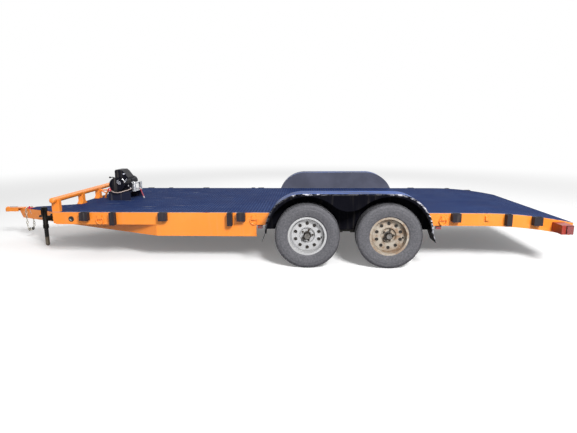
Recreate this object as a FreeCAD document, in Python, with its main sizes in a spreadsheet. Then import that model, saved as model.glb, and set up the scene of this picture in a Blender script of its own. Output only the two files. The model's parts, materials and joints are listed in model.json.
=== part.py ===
"""Tandem-axle car transporter trailer with a flat deck, a curved tail and an electric winch.

Frame of the part: +X points to the rear, -Y is the trailer's own left side, +Z is up.
The origin is on the ground, midway along the overall length, on the plane of symmetry.
Lengths are in millimetres and angles in degrees.
"""

import FreeCAD, Part
import Sketcher

import os

from FreeCAD import Placement, Rotation, Vector

# ---------------------------------------------------------------------------------------
# Driving dimensions: one named value for each size that can be set by itself
# ---------------------------------------------------------------------------------------

DIMENSIONS = {
    # overall
    "tongue_reach": (1261, "deck's front edge to the coupler's tip"),
    "deck_length": (4725, "level part of the deck"),
    "tail_run": (945, "horizontal run of the curved tail"),
    "tail_radius": (4500, "radius of the tail's top surface"),
    "deck_height": (560, "ground to the deck's top"),
    "deck_width": (2082, "across the side rails' outer faces"),
    "rear_flat": (1459, "midpoint of the axles to the start of the tail"),
    "axle_spacing": (857, "between the axles"),
    # frame sections
    "plate": (4, "thickness of the deck plates"),
    "rail_depth": (136, "depth of the side rail's channel"),
    "rail_flange": (45, "width of the channels' flanges"),
    "web": (6, "thickness of the channels' webs"),
    "flange": (8, "thickness of the channels' flanges"),
    "corner_round": (48, "rounding of the side rail's lower front corner"),
    "beam_depth": (127, "depth of the tongue's channels and the beams under the deck"),
    "frame_angle": (25, "angle between a tongue rail and the centre line"),
    "apex_reach": (1066, "deck's front edge to the point where the tongue rails meet"),
    "beam_stop": (985, "end of the under-deck beam ahead of the axles' midpoint"),
    "nose_cut": (86, "height of the slant under the tongue rails' front ends"),
    "nose_angle": (59, "slope of that slant"),
    "member_depth": (76, "depth of a crossmember"),
    "member_flange": (38, "flange width of a crossmember"),
    "member_web": (5, "thickness of a crossmember's web and flanges"),
    "tongue_plate_reach": (880, "length of the tread plate on the tongue"),
    # wheels
    "tyre_radius": (344, "outer radius of the tyre"),
    "tyre_width": (203, "section width of the tyre"),
    "tyre_gap": (22, "side rail's face to the tyre's inner wall"),
    "shoulder": (42, "rounding of the tyre's shoulders"),
    "bead_radius": (190, "radius of the rim's bead seat"),
    "lip_radius": (208, "outer radius of the rim's lips"),
    "rim_width": (160, "overall width of the rim"),
    "lip": (8, "width of a rim lip"),
    "barrel": (6, "thickness of the rim's barrel"),
    "disc": (5, "thickness of the wheel disc"),
    "vent_circle": (128, "radius of the circle of vent holes"),
    "vent_radius": (18, "radius of a vent hole"),
    "crown_radius": (89, "radius of the disc's raised ring"),
    "pilot_radius": (42, "radius of the disc's centre hole"),
    "face_radius": (72, "radius of the disc's flat for the lug nuts"),
    "lug_circle": (57.15, "radius of the circle of lugs"),
    "lug_radius": (10, "radius of a lug nut"),
    "drum_radius": (140, "outer radius of the brake drum"),
    "drum_width": (62, "width of the brake drum"),
    "hub_radius": (38, "radius of the hub's barrel"),
    "cap_radius": (28, "radius of the grease cap"),
    "cap_reach": (56, "grease cap's end beyond the disc's face"),
    "spindle_radius": (20, "radius of the spindle"),
    "running": (0.05, "radial clearance of the hub on its spindle"),
    "axle_radius": (30, "radius of the axle tube"),
    "backing_radius": (134, "radius of a brake backing plate"),
    "backing": (4, "thickness of a backing plate"),
    # suspension
    "spring_inset": (56, "side rail's face to the middle of the leaf spring"),
    "spring_width": (44, "width of the leaves"),
    "spring_span": (641, "between the eyes of a leaf spring"),
    "spring_camber": (48, "rise of the main leaf's ends above its middle"),
    "main_leaf": (8, "thickness of the main leaf"),
    "leaf_pack": (22, "thickness of the shorter leaves"),
    "seat": (10, "spring seat between the axle and the spring"),
    "seat_gap": (0.8, "seat's underside above the leaf's middle, which the leaf's bend takes up"),
    "seat_length": (80, "length of a spring seat"),
    "seat_wrap": (12, "how far a seat comes up the axle tube"),
    "eye_radius": (19, "outer radius of a spring eye"),
    "eye_bolt": (7, "radius of the bolts through the eyes"),
    "bolt_play": (0.3, "radial play of the bolts"),
    "hanger_plate": (6, "thickness of the hangers' plates"),
    "hanger_width": (64, "length of a hanger along the rail"),
    # fenders
    "fender_width": (240, "side rail's face to the fender's outer face"),
    "fender_rise": (238, "fender's flat top above the deck"),
    "fender_flat": (471, "half length of the fender's flat top"),
    "fender_round": (400, "radius of the fender's shoulders"),
    "fender_sheet": (4, "thickness of the fender's sheet"),
    "fender_drop": (98, "fender's flared ends below its shoulders"),
    "fender_flare": (20, "angle of the flared ends"),
    "arch_radius": (426, "radius of the wheel arches in the outer skirt"),
    "skirt_low": (617, "ground to the lowest point of the skirt between the arches"),
    # headboard rail
    "stop_rise": (135, "deck to the middle of the headboard rail"),
    "stop_radius": (30, "radius of the headboard rail"),
    "stop_overhang": (60, "headboard rail beyond each side rail"),
    "post_length": (86, "corner post along the trailer"),
    "post_width": (50, "corner post across the trailer"),
    "inner_post": (60, "width of an inner post"),
    "inner_post_setback": (592, "corner to the middle of an inner post"),
    # stake pockets
    "pocket_reach": (66, "how far the pockets stand out from the rail"),
    "pocket_wall": (5, "wall of the pockets"),
    "square_pocket": (90, "width and depth of a square pocket"),
    "tall_pocket": (55, "width of a tall pocket"),
    "square_one": (376, "deck's front edge to the first square pocket"),
    "square_two": (1253, "deck's front edge to the second square pocket"),
    "square_three": (2117, "deck's front edge to the third square pocket"),
    "square_last": (299, "fourth square pocket to the start of the tail"),
    "tall_one": (693, "deck's front edge to the first tall pocket"),
    "tall_two": (1994, "deck's front edge to the second tall pocket"),
    "tail_tall": (251, "start of the tail to its tall pocket"),
    "tail_square": (551, "start of the tail to its square pocket"),
    # tie-down rings
    "ring_radius": (38, "mean radius of a tie-down ring"),
    "ring_wire": (7, "radius of the ring's bar"),
    "clip": (46, "height and width of a ring's clip"),
    "ring_one": (535, "deck's front edge to the first ring"),
    "ring_two": (2255, "deck's front edge to the second ring"),
    "ring_last": (427, "third ring to the start of the tail"),
    "bare_clip": (40, "start of the tail to the clip that has lost its ring"),
    # jack
    "jack_back": (489, "deck's front edge to the jack's middle"),
    "jack_side": (391, "centre line to the jack's middle"),
    "jack_radius": (30, "outer radius of the jack's tube"),
    "jack_wall": (4, "wall of the jack's tube"),
    "jack_low": (229, "ground to the tube's lower end"),
    "jack_high": (448, "ground to the tube's top"),
    "jack_head": (44, "height of the gear head"),
    "leg_radius": (25, "radius of the jack's leg"),
    "leg_length": (285, "length of the jack's leg"),
    "pivot_height": (350, "ground to the jack's swivel axis"),
    "pivot_radius": (30, "radius of the swivel's stub"),
    "mount_radius": (50, "radius of the swivel's plate on the rail"),
    "mount_plate": (10, "thickness of that plate"),
    "crank_shaft": (8, "radius of the crank's shaft"),
    "crank_reach": (24, "length of the crank's shaft"),
    "crank_arm": (92, "length of the crank's arm"),
    "crank_arm_width": (20, "width of the crank's arm"),
    "crank_arm_thick": (6, "thickness of the crank's arm"),
    "grip_radius": (12, "radius of the crank's knob"),
    "grip_length": (40, "length of the crank's knob"),
    "swivel_gap": (0.3, "gap between the swivel's faces"),
    "swivel_collar": (22, "length of the swivel's collar on the jack"),
    # coupler
    "ball_radius": (29.6, "radius of the coupler's ball socket"),
    "socket_wall": (6, "wall of the ball socket"),
    "ball_height": (404, "ground to the centre of the ball"),
    "channel_width": (76, "width of the coupler's channel"),
    "channel_height": (52, "height of the coupler's channel"),
    # winch
    "winch_back": (406, "deck's front edge to the winch's axis"),
    "winch_rise": (206, "deck to the winch's axis"),
    "gearbox_radius": (92, "radius of the winch's gear housing"),
    "gearbox_length": (140, "length of the gear housing"),
    "drum_length": (230, "length of the rope drum"),
    "drum_core": (62, "radius of the rope on its drum"),
    "motor_radius": (66, "radius of the winch's motor"),
    "motor_length": (190, "length of the winch's motor"),
    "case_front": (22, "control box's front face ahead of the winch's axis"),
    "case_back": (145, "control box's rear face behind the winch's axis"),
    "case_height": (97, "height of the control box"),
    "case_lip": (26, "how far the control box's rear comes down"),
    "case_width": (200, "control box across the trailer"),
    "stand_rise": (110, "deck to the top of the winch stand"),
    "stand_plate": (6, "thickness of the winch stand"),
    "stand_front": (130, "winch stand's front edge to the winch's axis"),
    "stand_width": (420, "width of the winch stand"),
    "fairlead_back": (155, "winch's axis to the fairlead"),
    "roller_radius": (16, "radius of a fairlead roller"),
    "fairlead_width": (190, "between the fairlead's upright rollers"),
    "fairlead_height": (112, "height of the fairlead's frame"),
    "strap_width": (26, "width of the pull strap"),
    "strap_thick": (4, "thickness of the pull strap"),
    "strap_rise": (130, "top of the pull strap above the deck"),
    "strap_side": (20, "centre line to the middle of the pull strap"),
    "strap_foot": (34, "length of the pull strap that lies on the deck"),
    # lights
    "light_box_length": (117, "light box along the trailer"),
    "light_box_width": (190, "light box across the trailer"),
    "light_box_height": (96, "height of the light box"),
    "light_box_wall": (4, "wall of the light box"),
    "light_box_inset": (104, "tail's end to the light box's rear face"),
    "lamp_depth": (30, "tail lamp's depth inside its box"),
    "lens_rise": (6, "tail lamp's lens beyond its box"),
    "side_lamp_length": (64, "side lamp along the trailer"),
    "side_lamp_rise": (14, "side lamp's lens beyond its box"),
    "wall_margin": (6, "side lamp's edge to the light box's edges"),
    # marker lamps at the fenders' ends
    "marker_ahead": (942, "midpoint of the axles to the front marker lamp"),
    "marker_behind": (982, "midpoint of the axles to the rear marker lamp"),
    "marker_size": (54, "length of a marker lamp"),
    "marker_reach": (24, "how far a marker lamp stands out from the rail"),
    "marker_drop": (34, "height of a marker lamp under the rail"),
    # safety chains
    "chain_radius": (9, "radius of the safety chains' outline"),
    "chain_forward": (936, "deck's front edge to the safety chains"),
    "chain_low": (111, "ground to the chains' lowest point"),
}

doc = FreeCAD.newDocument("car_transporter_trailer")
dims = doc.addObject("Spreadsheet::Sheet", "Dims")
for row, (alias, (value, meaning)) in enumerate(DIMENSIONS.items(), start=1):
    dims.set(f"A{row}", str(value))
    dims.set(f"B{row}", meaning)
    dims.setAlias(f"A{row}", alias)
doc.recompute()

# ---------------------------------------------------------------------------------------
# Stations and levels worked out from the driving dimensions, as expressions
# ---------------------------------------------------------------------------------------


def expand(expression):
    """Turn the names in square brackets of an expression into cells of the sheet."""
    return "(" + expression.replace("[", "Dims.").replace("]", "") + ")"


def plus(*terms):
    """Join terms into one sum."""
    return "(" + " + ".join(f"({term})" for term in terms) + ")"


def minus(first, *others):
    """Take terms away from the first."""
    return "(" + " - ".join(f"({term})" for term in (first,) + others) + ")"


TIP = expand("-([tongue_reach] + [deck_length] + [tail_run]) / 2")
DECK_FRONT = plus(TIP, expand("[tongue_reach]"))
TAIL_START = plus(DECK_FRONT, expand("[deck_length]"))
TAIL_END = plus(TAIL_START, expand("[tail_run]"))
AXLES = minus(TAIL_START, expand("[rear_flat]"))
SIDE = expand("[deck_width] / 2")
DECK_TOP = expand("[deck_height]")
RAIL_TOP = expand("[deck_height] - [plate]")
RAIL_LOW = expand("[deck_height] - [plate] - [rail_depth]")
BEAM_LOW = minus(RAIL_LOW, expand("[beam_depth]"))
TAIL_ANGLE = expand("asin([tail_run] / [tail_radius])")
APEX = minus(DECK_FRONT, expand("[apex_reach]"))
TRACK = plus(SIDE, expand("[tyre_gap] + [tyre_width] / 2"))
WHEEL_HEIGHT = expand("[tyre_radius]")
SPRING_SIDE = minus(SIDE, expand("[spring_inset]"))


def number(expression):
    """The value of an expression, for the few shapes that code makes."""
    value = dims.evalExpression(expression)
    return float(getattr(value, "Value", value))


def bind(item, bindings):
    """Tie properties of an object to expressions of the sheet."""
    for name, expression in bindings.items():
        item.setExpression(name, expression)
    return item


def place(item, x="0", y="0", z="0"):
    """Tie the place of an object to expressions, keeping its turn."""
    return bind(item, {"Placement.Base.x": x, "Placement.Base.y": y, "Placement.Base.z": z})


def box(name, x, y, z, length, width, height):
    """A block whose lowest corner is at x, y, z."""
    item = doc.addObject("Part::Box", name)
    bind(item, {"Length": length, "Width": width, "Height": height})
    return place(item, x, y, z)


AXIS_TURNS = {
    "X": Rotation(Vector(0, 1, 0), 90),
    "Y": Rotation(Vector(1, 0, 0), -90),
    "Z": Rotation(),
}


def cylinder(name, axis, x, y, z, radius, length, angle=None, turn=None):
    """A cylinder that starts at x, y, z and runs along +axis."""
    item = doc.addObject("Part::Cylinder", name)
    item.Placement = Placement(Vector(), turn or AXIS_TURNS[axis])
    bind(item, {"Radius": radius, "Height": length})
    if angle:
        bind(item, {"Angle": angle})
    return place(item, x, y, z)


def cut(name, base, tool):
    """One shape less another."""
    item = doc.addObject("Part::Cut", name)
    item.Base = base
    item.Tool = tool
    return item


def fuse(name, *pieces):
    """Pieces joined into one solid."""
    item = doc.addObject("Part::MultiFuse", name)
    item.Shapes = list(pieces)
    item.Refine = True
    return item


def common(name, *pieces):
    """What pieces share."""
    item = doc.addObject("Part::MultiCommon", name)
    item.Shapes = list(pieces)
    return item


def group(name, *pieces):
    """Separate like pieces kept under one name."""
    item = doc.addObject("Part::Compound", name)
    item.Links = list(pieces)
    return item


def mirrored(name, source):
    """The same piece on the other side of the trailer."""
    item = doc.addObject("Part::Mirroring", name)
    item.Source = source
    item.Normal = Vector(0, 1, 0)
    return item


def body(name):
    """An empty PartDesign body."""
    return doc.addObject("PartDesign::Body", name)


def origin_plane(owner, role):
    """The plane of a body's own origin that has this role."""
    return next(item for item in owner.Origin.OriginFeatures if item.Role == role)


def outline(owner, name, role, corners, offset="0"):
    """A closed outline whose corners are tied to the sheet.

    corners holds pairs of expressions in the sketch's own plane, and offset is the
    sketch's distance along the plane's normal.
    """
    sketch = owner.newObject("Sketcher::SketchObject", name)
    sketch.AttachmentSupport = (origin_plane(owner, role), [""])
    sketch.MapMode = "FlatFace"
    sketch.setExpression("AttachmentOffset.Base.z", offset)
    points = [Vector(number(u), number(v), 0) for u, v in corners]
    count = len(points)
    for index in range(count):
        sketch.addGeometry(Part.LineSegment(points[index], points[(index + 1) % count]), False)
    for index in range(count):
        sketch.addConstraint(Sketcher.Constraint("Coincident", index, 2, (index + 1) % count, 1))
    for index, (u, v) in enumerate(corners):
        across = sketch.addConstraint(Sketcher.Constraint("DistanceX", index, 1, points[index].x))
        sketch.setExpression(f"Constraints[{across}]", u)
        along = sketch.addConstraint(Sketcher.Constraint("DistanceY", index, 1, points[index].y))
        sketch.setExpression(f"Constraints[{along}]", v)
    return sketch


def pad(owner, name, sketch, length, symmetric=False):
    """Material pushed out of an outline."""
    item = owner.newObject("PartDesign::Pad", name)
    item.Profile = sketch
    item.setExpression("Length", length)
    item.Midplane = symmetric
    return item


nodes = {}


def keep(name, item):
    """Give a finished sub-part its own name and list it."""
    item.Label = name
    nodes[name] = item
    return item


# ---------------------------------------------------------------------------------------
# Deck and tail
# ---------------------------------------------------------------------------------------

TAIL_CENTRE = expand("[deck_height] - [tail_radius]")


TAIL_TURN = Rotation(Vector(0, 0, 1), Vector(1, 0, 0), Vector(0, 1, 0), "XYZ")


def tail_sector(name, y, radius, width):
    """A wedge of the cylinder that the tail is bent to, from its start to its end."""
    return cylinder(name, "Y", TAIL_START, y, TAIL_CENTRE, radius, width, TAIL_ANGLE, TAIL_TURN)


def tail_strip(name, y, outer, inner, width):
    """A strip of the tail between two radii."""
    whole = tail_sector(name + "_outer", y, outer, width)
    core = cylinder(name + "_core", "Y", TAIL_START, minus(y, "1"), TAIL_CENTRE, inner, plus(width, "2"))
    return cut(name, whole, core)


def make_deck():
    """The level tread plate and the curved plate of the tail."""
    full = expand("[deck_width]")
    keep("deck_plate", box("DeckPlate", DECK_FRONT, expand("-[deck_width] / 2"), RAIL_TOP,
                           expand("[deck_length]"), full, expand("[plate]")))
    keep("tail_plate", tail_strip("TailPlate", expand("-[deck_width] / 2"), expand("[tail_radius]"),
                                  expand("[tail_radius] - [plate]"), full))


make_deck()

# ---------------------------------------------------------------------------------------
# Frame
# ---------------------------------------------------------------------------------------


def make_side_rail():
    """A channel with its web outwards, level along the deck and bent down along the tail."""
    left = expand("-[deck_width] / 2")
    solid = box("RailBar", DECK_FRONT, left, RAIL_LOW,
                expand("[deck_length]"), expand("[rail_flange]"), expand("[rail_depth]"))
    hollow = box("RailHollow", minus(DECK_FRONT, "1"), plus(left, expand("[web]")),
                 plus(RAIL_LOW, expand("[flange]")), expand("[deck_length] + 1"),
                 expand("[rail_flange]"), expand("[rail_depth] - 2 * [flange]"))
    corner = box("CornerBlock", minus(DECK_FRONT, "1"), minus(left, "1"), minus(RAIL_LOW, "1"),
                 expand("[corner_round] + 1"), expand("[rail_flange] + 2"), expand("[corner_round] + 1"))
    rounding = cylinder("CornerRound", "Y", plus(DECK_FRONT, expand("[corner_round]")), minus(left, "2"),
                        plus(RAIL_LOW, expand("[corner_round]")), expand("[corner_round]"),
                        expand("[rail_flange] + 4"))
    straight = cut("RailChannel", cut("RailBlank", solid, cut("RailCorner", corner, rounding)), hollow)
    bent = tail_strip("TailRail", left, expand("[tail_radius] - [plate]"),
                      expand("[tail_radius] - [plate] - [rail_depth]"), expand("[rail_flange]"))
    gap = tail_sector("TailHollow", plus(left, expand("[web]")),
                      expand("[tail_radius] - [plate] - [flange]"), expand("[rail_flange]"))
    gap_core = cylinder("TailHollowCore", "Y", TAIL_START, minus(left, "1"), TAIL_CENTRE,
                        expand("[tail_radius] - [plate] - [rail_depth] + [flange]"),
                        expand("[rail_flange] + [web] + 2"))
    tail = cut("TailChannel", bent, cut("TailRailHollow", gap, gap_core))
    rail = keep("side_rail_left", fuse("SideRailLeft", straight, tail))
    keep("side_rail_right", mirrored("SideRailRight", rail))


def channel_across(name, x, z, depth, width, web, flange, half_span):
    """A channel that runs from side to side, open to the rear or to the front."""
    span = plus(half_span, half_span)
    solid = box(name + "_bar", x, minus("0", half_span), z, width, span, depth)
    shift = web
    hollow = box(name + "_hollow", plus(x, shift), minus("0", half_span, "1"), plus(z, flange),
                 minus(plus(width, "1"), web), plus(span, "2"), minus(depth, flange, flange))
    return cut(name, solid, hollow)


MEMBER_COUNT = 9


def make_cross_frame():
    """The front beam, the beam across the tail's end and the crossmembers between them."""
    inner = minus(SIDE, expand("[web]"))
    low = plus(RAIL_LOW, expand("[flange]"))
    depth = expand("[rail_depth] - 2 * [flange]")
    wide, web, flange = expand("[rail_flange]"), expand("[web]"), expand("[flange]")
    keep("front_beam", channel_across("FrontBeam", DECK_FRONT, low, depth, wide, web, flange, inner))
    top = minus(RAIL_TOP, flange)
    members = []
    for index in range(1, MEMBER_COUNT + 1):
        share = expand(f"[deck_length] * {index} / {MEMBER_COUNT + 1}")
        members.append(channel_across(
            f"Member{index}", plus(DECK_FRONT, share), minus(top, expand("[member_depth]")),
            expand("[member_depth]"), expand("[member_flange]"), expand("[member_web]"),
            expand("[member_web]"), inner))
        packer = box(f"Packer{index}", plus(DECK_FRONT, share), minus("0", minus(SIDE, wide)), top,
                     expand("[member_flange]"), minus(expand("[deck_width]"), wide, wide), flange)
        members[-1] = fuse(f"Crossmember{index}", members[-1], packer)
    keep("crossmembers", group("Crossmembers", *members))
    drop = plus(expand("[plate]"), flange, depth)
    bar = box("RearBeam", *[minus("0", "1")] * 3, web, plus(inner, inner), depth)
    bar.Placement.Rotation = Rotation(Vector(0, 1, 0), number(TAIL_ANGLE))
    bar.setExpression("Placement.Rotation.Angle", TAIL_ANGLE)
    place(bar, x=minus(TAIL_END, f"{web} * cos({TAIL_ANGLE}) + {drop} * sin({TAIL_ANGLE})"),
          y=minus("0", inner),
          z=plus(TAIL_CENTRE, f"({expand('[tail_radius]')} - {drop}) * cos({TAIL_ANGLE})",
                 f"{web} * sin({TAIL_ANGLE})"))
    keep("rear_beam", bar)


make_side_rail()
make_cross_frame()

# ---------------------------------------------------------------------------------------
# Tongue: two channels that meet at the apex and run on under the side rails
# ---------------------------------------------------------------------------------------

BEND = plus(APEX, f"{SIDE} / tan({expand('[frame_angle]')})")
BEAM_END = minus(AXLES, expand("[beam_stop]"))


def rail_plan(width):
    """Corners of a left tongue rail in plan, for a strip of this width inside its outer line."""
    angle = expand("[frame_angle]")
    inner = minus(SIDE, width)
    return [
        (APEX, "0"),
        (BEND, minus("0", SIDE)),
        (BEAM_END, minus("0", SIDE)),
        (BEAM_END, minus("0", inner)),
        (plus(BEND, f"{width} * tan({angle} / 2)"), minus("0", inner)),
        (plus(APEX, f"{width} / sin({angle})"), "0"),
    ]


def make_tongue_rail():
    """A tongue rail: web on its outer line and flanges inwards."""
    owner = body("TongueRailBody")
    web_plan = outline(owner, "WebPlan", "XY_Plane", rail_plan(expand("[web]")), BEAM_LOW)
    pad(owner, "Web", web_plan, expand("[beam_depth]"))
    wide = rail_plan(expand("[rail_flange]"))
    low_plan = outline(owner, "LowFlangePlan", "XY_Plane", wide, BEAM_LOW)
    pad(owner, "LowFlange", low_plan, expand("[flange]"))
    top_plan = outline(owner, "TopFlangePlan", "XY_Plane", wide, minus(RAIL_LOW, expand("[flange]")))
    pad(owner, "TopFlange", top_plan, expand("[flange]"))
    slant = box("NoseSlant", APEX, expand("-[channel_width] * 2"), BEAM_LOW,
                expand("[nose_cut] * 4"), expand("[channel_width] * 3"), expand("[nose_cut] * 2"))
    slant.Placement.Rotation = Rotation(Vector(0, 1, 0), number(expand("[nose_angle]")))
    slant.setExpression("Placement.Rotation.Angle", expand("[nose_angle]"))
    reach = expand("[nose_cut] * 2")
    place(slant, x=minus(APEX, f"{reach} * sin({expand('[nose_angle]')})"), y=expand("-[channel_width] * 2"),
          z=plus(BEAM_LOW, expand("[nose_cut]"), f"-{reach} * cos({expand('[nose_angle]')})"))
    rail = keep("tongue_rail_left", cut("TongueRailLeft", owner, slant))
    keep("tongue_rail_right", mirrored("TongueRailRight", rail))


def tongue_half_width(x):
    """Half the width across the tongue rails' outer faces at a station."""
    return f"(({x} - {APEX}) * tan({expand('[frame_angle]')}))"


def make_tongue_plate():
    """The tread plate that lies on the tongue rails."""
    front = minus(DECK_FRONT, expand("[tongue_plate_reach]"))
    inset = expand("[web]")
    owner = body("TonguePlateBody")
    corners = [
        (front, minus(inset, tongue_half_width(front))),
        (DECK_FRONT, minus(inset, tongue_half_width(DECK_FRONT))),
        (DECK_FRONT, minus(tongue_half_width(DECK_FRONT), inset)),
        (front, minus(tongue_half_width(front), inset)),
    ]
    plan = outline(owner, "TonguePlatePlan", "XY_Plane", corners, RAIL_LOW)
    pad(owner, "TonguePlate", plan, expand("[plate]"))
    keep("tongue_plate", owner)


make_tongue_rail()
make_tongue_plate()

# ---------------------------------------------------------------------------------------
# Coupler
# ---------------------------------------------------------------------------------------

SOCKET_OUTER = expand("[ball_radius] + [socket_wall]")
SOCKET = plus(TIP, SOCKET_OUTER)
BALL = expand("[ball_height]")


def make_coupler():
    """A pressed coupler: a channel over the apex and a ball socket at its tip."""
    half = expand("[channel_width] / 2")
    low = minus(BALL, expand("[channel_height] * 0.5"))
    root = plus(APEX, f"{half} / tan({expand('[frame_angle]')})")
    trunk = box("CouplerTrunk", SOCKET, minus("0", half), low, minus(root, SOCKET),
                expand("[channel_width]"), expand("[channel_height]"))
    under = box("CouplerUnder", minus(SOCKET, "1"), minus(expand("[socket_wall]"), half),
                minus(low, "1"), minus(root, SOCKET, expand("[socket_wall]"), "-1"),
                expand("[channel_width] - 2 * [socket_wall]"),
                expand("[channel_height] - [socket_wall] + 1"))
    dome = doc.addObject("Part::Sphere", "SocketDome")
    place(bind(dome, {"Radius": SOCKET_OUTER}), SOCKET, "0", BALL)
    skirt = cylinder("SocketSkirt", "Z", SOCKET, "0", minus(BALL, expand("[ball_radius]")),
                     SOCKET_OUTER, expand("[ball_radius]"))
    ball = doc.addObject("Part::Sphere", "SocketHollow")
    place(bind(ball, {"Radius": expand("[ball_radius]")}), SOCKET, "0", BALL)
    mouth = cylinder("SocketMouth", "Z", SOCKET, "0", minus(BALL, expand("[ball_radius] * 2")),
                     expand("[ball_radius]"), expand("[ball_radius] * 2"))
    trimmed = common("SocketBody", fuse("SocketOuter", dome, skirt),
                     box("SocketLimit", minus(SOCKET, SOCKET_OUTER), minus("0", SOCKET_OUTER),
                         minus(BALL, expand("[ball_radius]")), plus(SOCKET_OUTER, SOCKET_OUTER),
                         plus(SOCKET_OUTER, SOCKET_OUTER), expand("[ball_radius] * 3")))
    shell = fuse("CouplerShell", cut("CouplerTrunkOpen", trunk, under), trimmed)
    hollow = cut("CouplerBody", shell, fuse("SocketCavity", ball, mouth))
    clear = expand("[beam_depth]")
    rails = box("ApexRoom", APEX, minus("0", clear), BEAM_LOW, clear, plus(clear, clear), clear)
    keep("coupler", cut("Coupler", hollow, rails))
    lever = box("LatchLever", plus(SOCKET, expand("[ball_radius]")), expand("-[socket_wall] * 1.5"),
                plus(low, expand("[channel_height]")), expand("[channel_width] * 1.3"),
                expand("[socket_wall] * 3"), expand("[socket_wall] * 2"))
    keep("coupler_latch", lever)


make_coupler()

# ---------------------------------------------------------------------------------------
# Safety chains: outlines of the two chains, joined by their hooks under the tongue
# ---------------------------------------------------------------------------------------


def make_safety_chain():
    """A chain from the tongue's top, over its edge and down to the middle of the loop."""
    thick = expand("[chain_radius]")
    station = minus(DECK_FRONT, expand("[chain_forward]"))
    side = plus(tongue_half_width(station), thick, "2 * 1")
    drop = cylinder("ChainDrop", "Z", station, minus("0", side), plus(expand("[chain_low]"), thick, side),
                    thick, minus(RAIL_LOW, expand("[chain_low]"), side))
    loop = doc.addObject("Part::Torus", "ChainLoop")
    loop.Placement.Rotation = Rotation(Vector(0, -1, 0), Vector(0, 0, -1), Vector(1, 0, 0), "XYZ")
    bind(loop, {"Radius1": side, "Radius2": thick})
    loop.Angle3 = 90
    place(loop, station, "0", plus(expand("[chain_low]"), thick, side))
    over = cylinder("ChainOver", "Y", station, minus("0", side, thick), plus(RAIL_LOW, thick),
                    thick, side)
    chain = keep("safety_chain_left", fuse("SafetyChainLeft", drop, loop, over))
    keep("safety_chain_right", mirrored("SafetyChainRight", chain))


make_safety_chain()

# ---------------------------------------------------------------------------------------
# Jack: swivels on a stub that is welded to the left tongue rail
# ---------------------------------------------------------------------------------------

JACK_X = minus(DECK_FRONT, expand("[jack_back]"))
JACK_Y = expand("-[jack_side]")


def along_rail_normal(distance):
    """A place this far from the jack's axis, towards the left tongue rail."""
    angle = expand("[frame_angle]")
    return plus(JACK_X, f"{distance} * sin({angle})"), plus(JACK_Y, f"{distance} * cos({angle})")


def rail_distance():
    """From the jack's axis to the outer face of the left tongue rail."""
    angle = expand("[frame_angle]")
    return f"(-({JACK_X} - {APEX}) * sin({angle}) - {JACK_Y} * cos({angle}))"


def swivel_cylinder(name, start, radius, length):
    """A cylinder on the swivel's axis, from this far off the jack's axis towards the rail."""
    x, y = along_rail_normal(start)
    item = cylinder(name, "Y", x, y, expand("[pivot_height]"), radius, length)
    item.Placement.Rotation = Rotation(Vector(-1, 0, 0), 90)
    bind(item, {"Placement.Rotation.Axis.x": expand("-cos([frame_angle])"),
                "Placement.Rotation.Axis.y": expand("sin([frame_angle])")})
    return item


def make_jack():
    """The stub on the rail, the jack's tube with its gear head, the leg and the crank."""
    radius, high = expand("[jack_radius]"), expand("[jack_high]")
    low = expand("[jack_low]")
    collar = expand("[jack_radius] + [swivel_collar]")
    start = plus(collar, expand("[swivel_gap]"))
    reach = minus(rail_distance(), start)
    stub = swivel_cylinder("JackStub", start, expand("[pivot_radius]"), reach)
    plate = swivel_cylinder("JackPlate", minus(rail_distance(), expand("[mount_plate]")), expand("[mount_radius]"),
                            expand("[mount_plate]"))
    keep("jack_mount", fuse("JackMount", stub, plate))
    outer = cylinder("JackOuter", "Z", JACK_X, JACK_Y, low, radius, minus(high, low))
    ring = cylinder("JackRing", "Z", JACK_X, JACK_Y, low, plus(radius, expand("[jack_wall]")),
                    expand("[jack_radius] * 1.5"))
    head = cylinder("JackHead", "Z", JACK_X, JACK_Y, high, plus(radius, expand("[jack_wall] * 1.5")),
                    expand("[jack_head]"))
    boss = swivel_cylinder("SwivelCollar", "0", plus(expand("[pivot_radius]"), expand("[jack_wall]")), collar)
    bore = cylinder("JackBore", "Z", JACK_X, JACK_Y, minus(low, "1"), minus(radius, expand("[jack_wall]")),
                    minus(high, low, "-1"))
    keep("jack_tube", cut("JackTube", fuse("JackBody", outer, ring, head, boss), bore))
    leg_radius = expand("[leg_radius]")
    shank = cylinder("LegShank", "Z", JACK_X, JACK_Y, leg_radius, leg_radius, minus(expand("[leg_length]"), leg_radius))
    foot = doc.addObject("Part::Sphere", "LegFoot")
    place(bind(foot, {"Radius": leg_radius}), JACK_X, JACK_Y, leg_radius)
    keep("jack_leg", fuse("JackLeg", shank, foot))
    side = plus(radius, expand("[jack_wall] * 1.5"))
    level = plus(high, expand("[jack_head] / 2"))
    reach, thick = expand("[crank_reach]"), expand("[crank_arm_thick]")
    shaft = cylinder("CrankShaft", "Y", JACK_X, minus(JACK_Y, side, reach), level, expand("[crank_shaft]"), reach)
    arm = box("CrankArm", minus(JACK_X, expand("[crank_arm_width] / 2")), minus(JACK_Y, side, reach),
              minus(level, expand("[crank_arm] - [crank_shaft] * 1.5")), expand("[crank_arm_width]"), thick,
              expand("[crank_arm]"))
    grip = cylinder("CrankGrip", "Y", JACK_X, minus(JACK_Y, side, reach, expand("[grip_length]")),
                    minus(level, expand("[crank_arm] - [crank_shaft] * 1.5 - [grip_radius]")),
                    expand("[grip_radius]"), expand("[grip_length]"))
    keep("jack_crank", fuse("JackCrank", shaft, arm, grip))


make_jack()

# ---------------------------------------------------------------------------------------
# Headboard rail and its posts
# ---------------------------------------------------------------------------------------

STOP_X = plus(DECK_FRONT, expand("[post_length] / 2"))
STOP_Z = plus(DECK_TOP, expand("[stop_rise]"))


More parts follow.
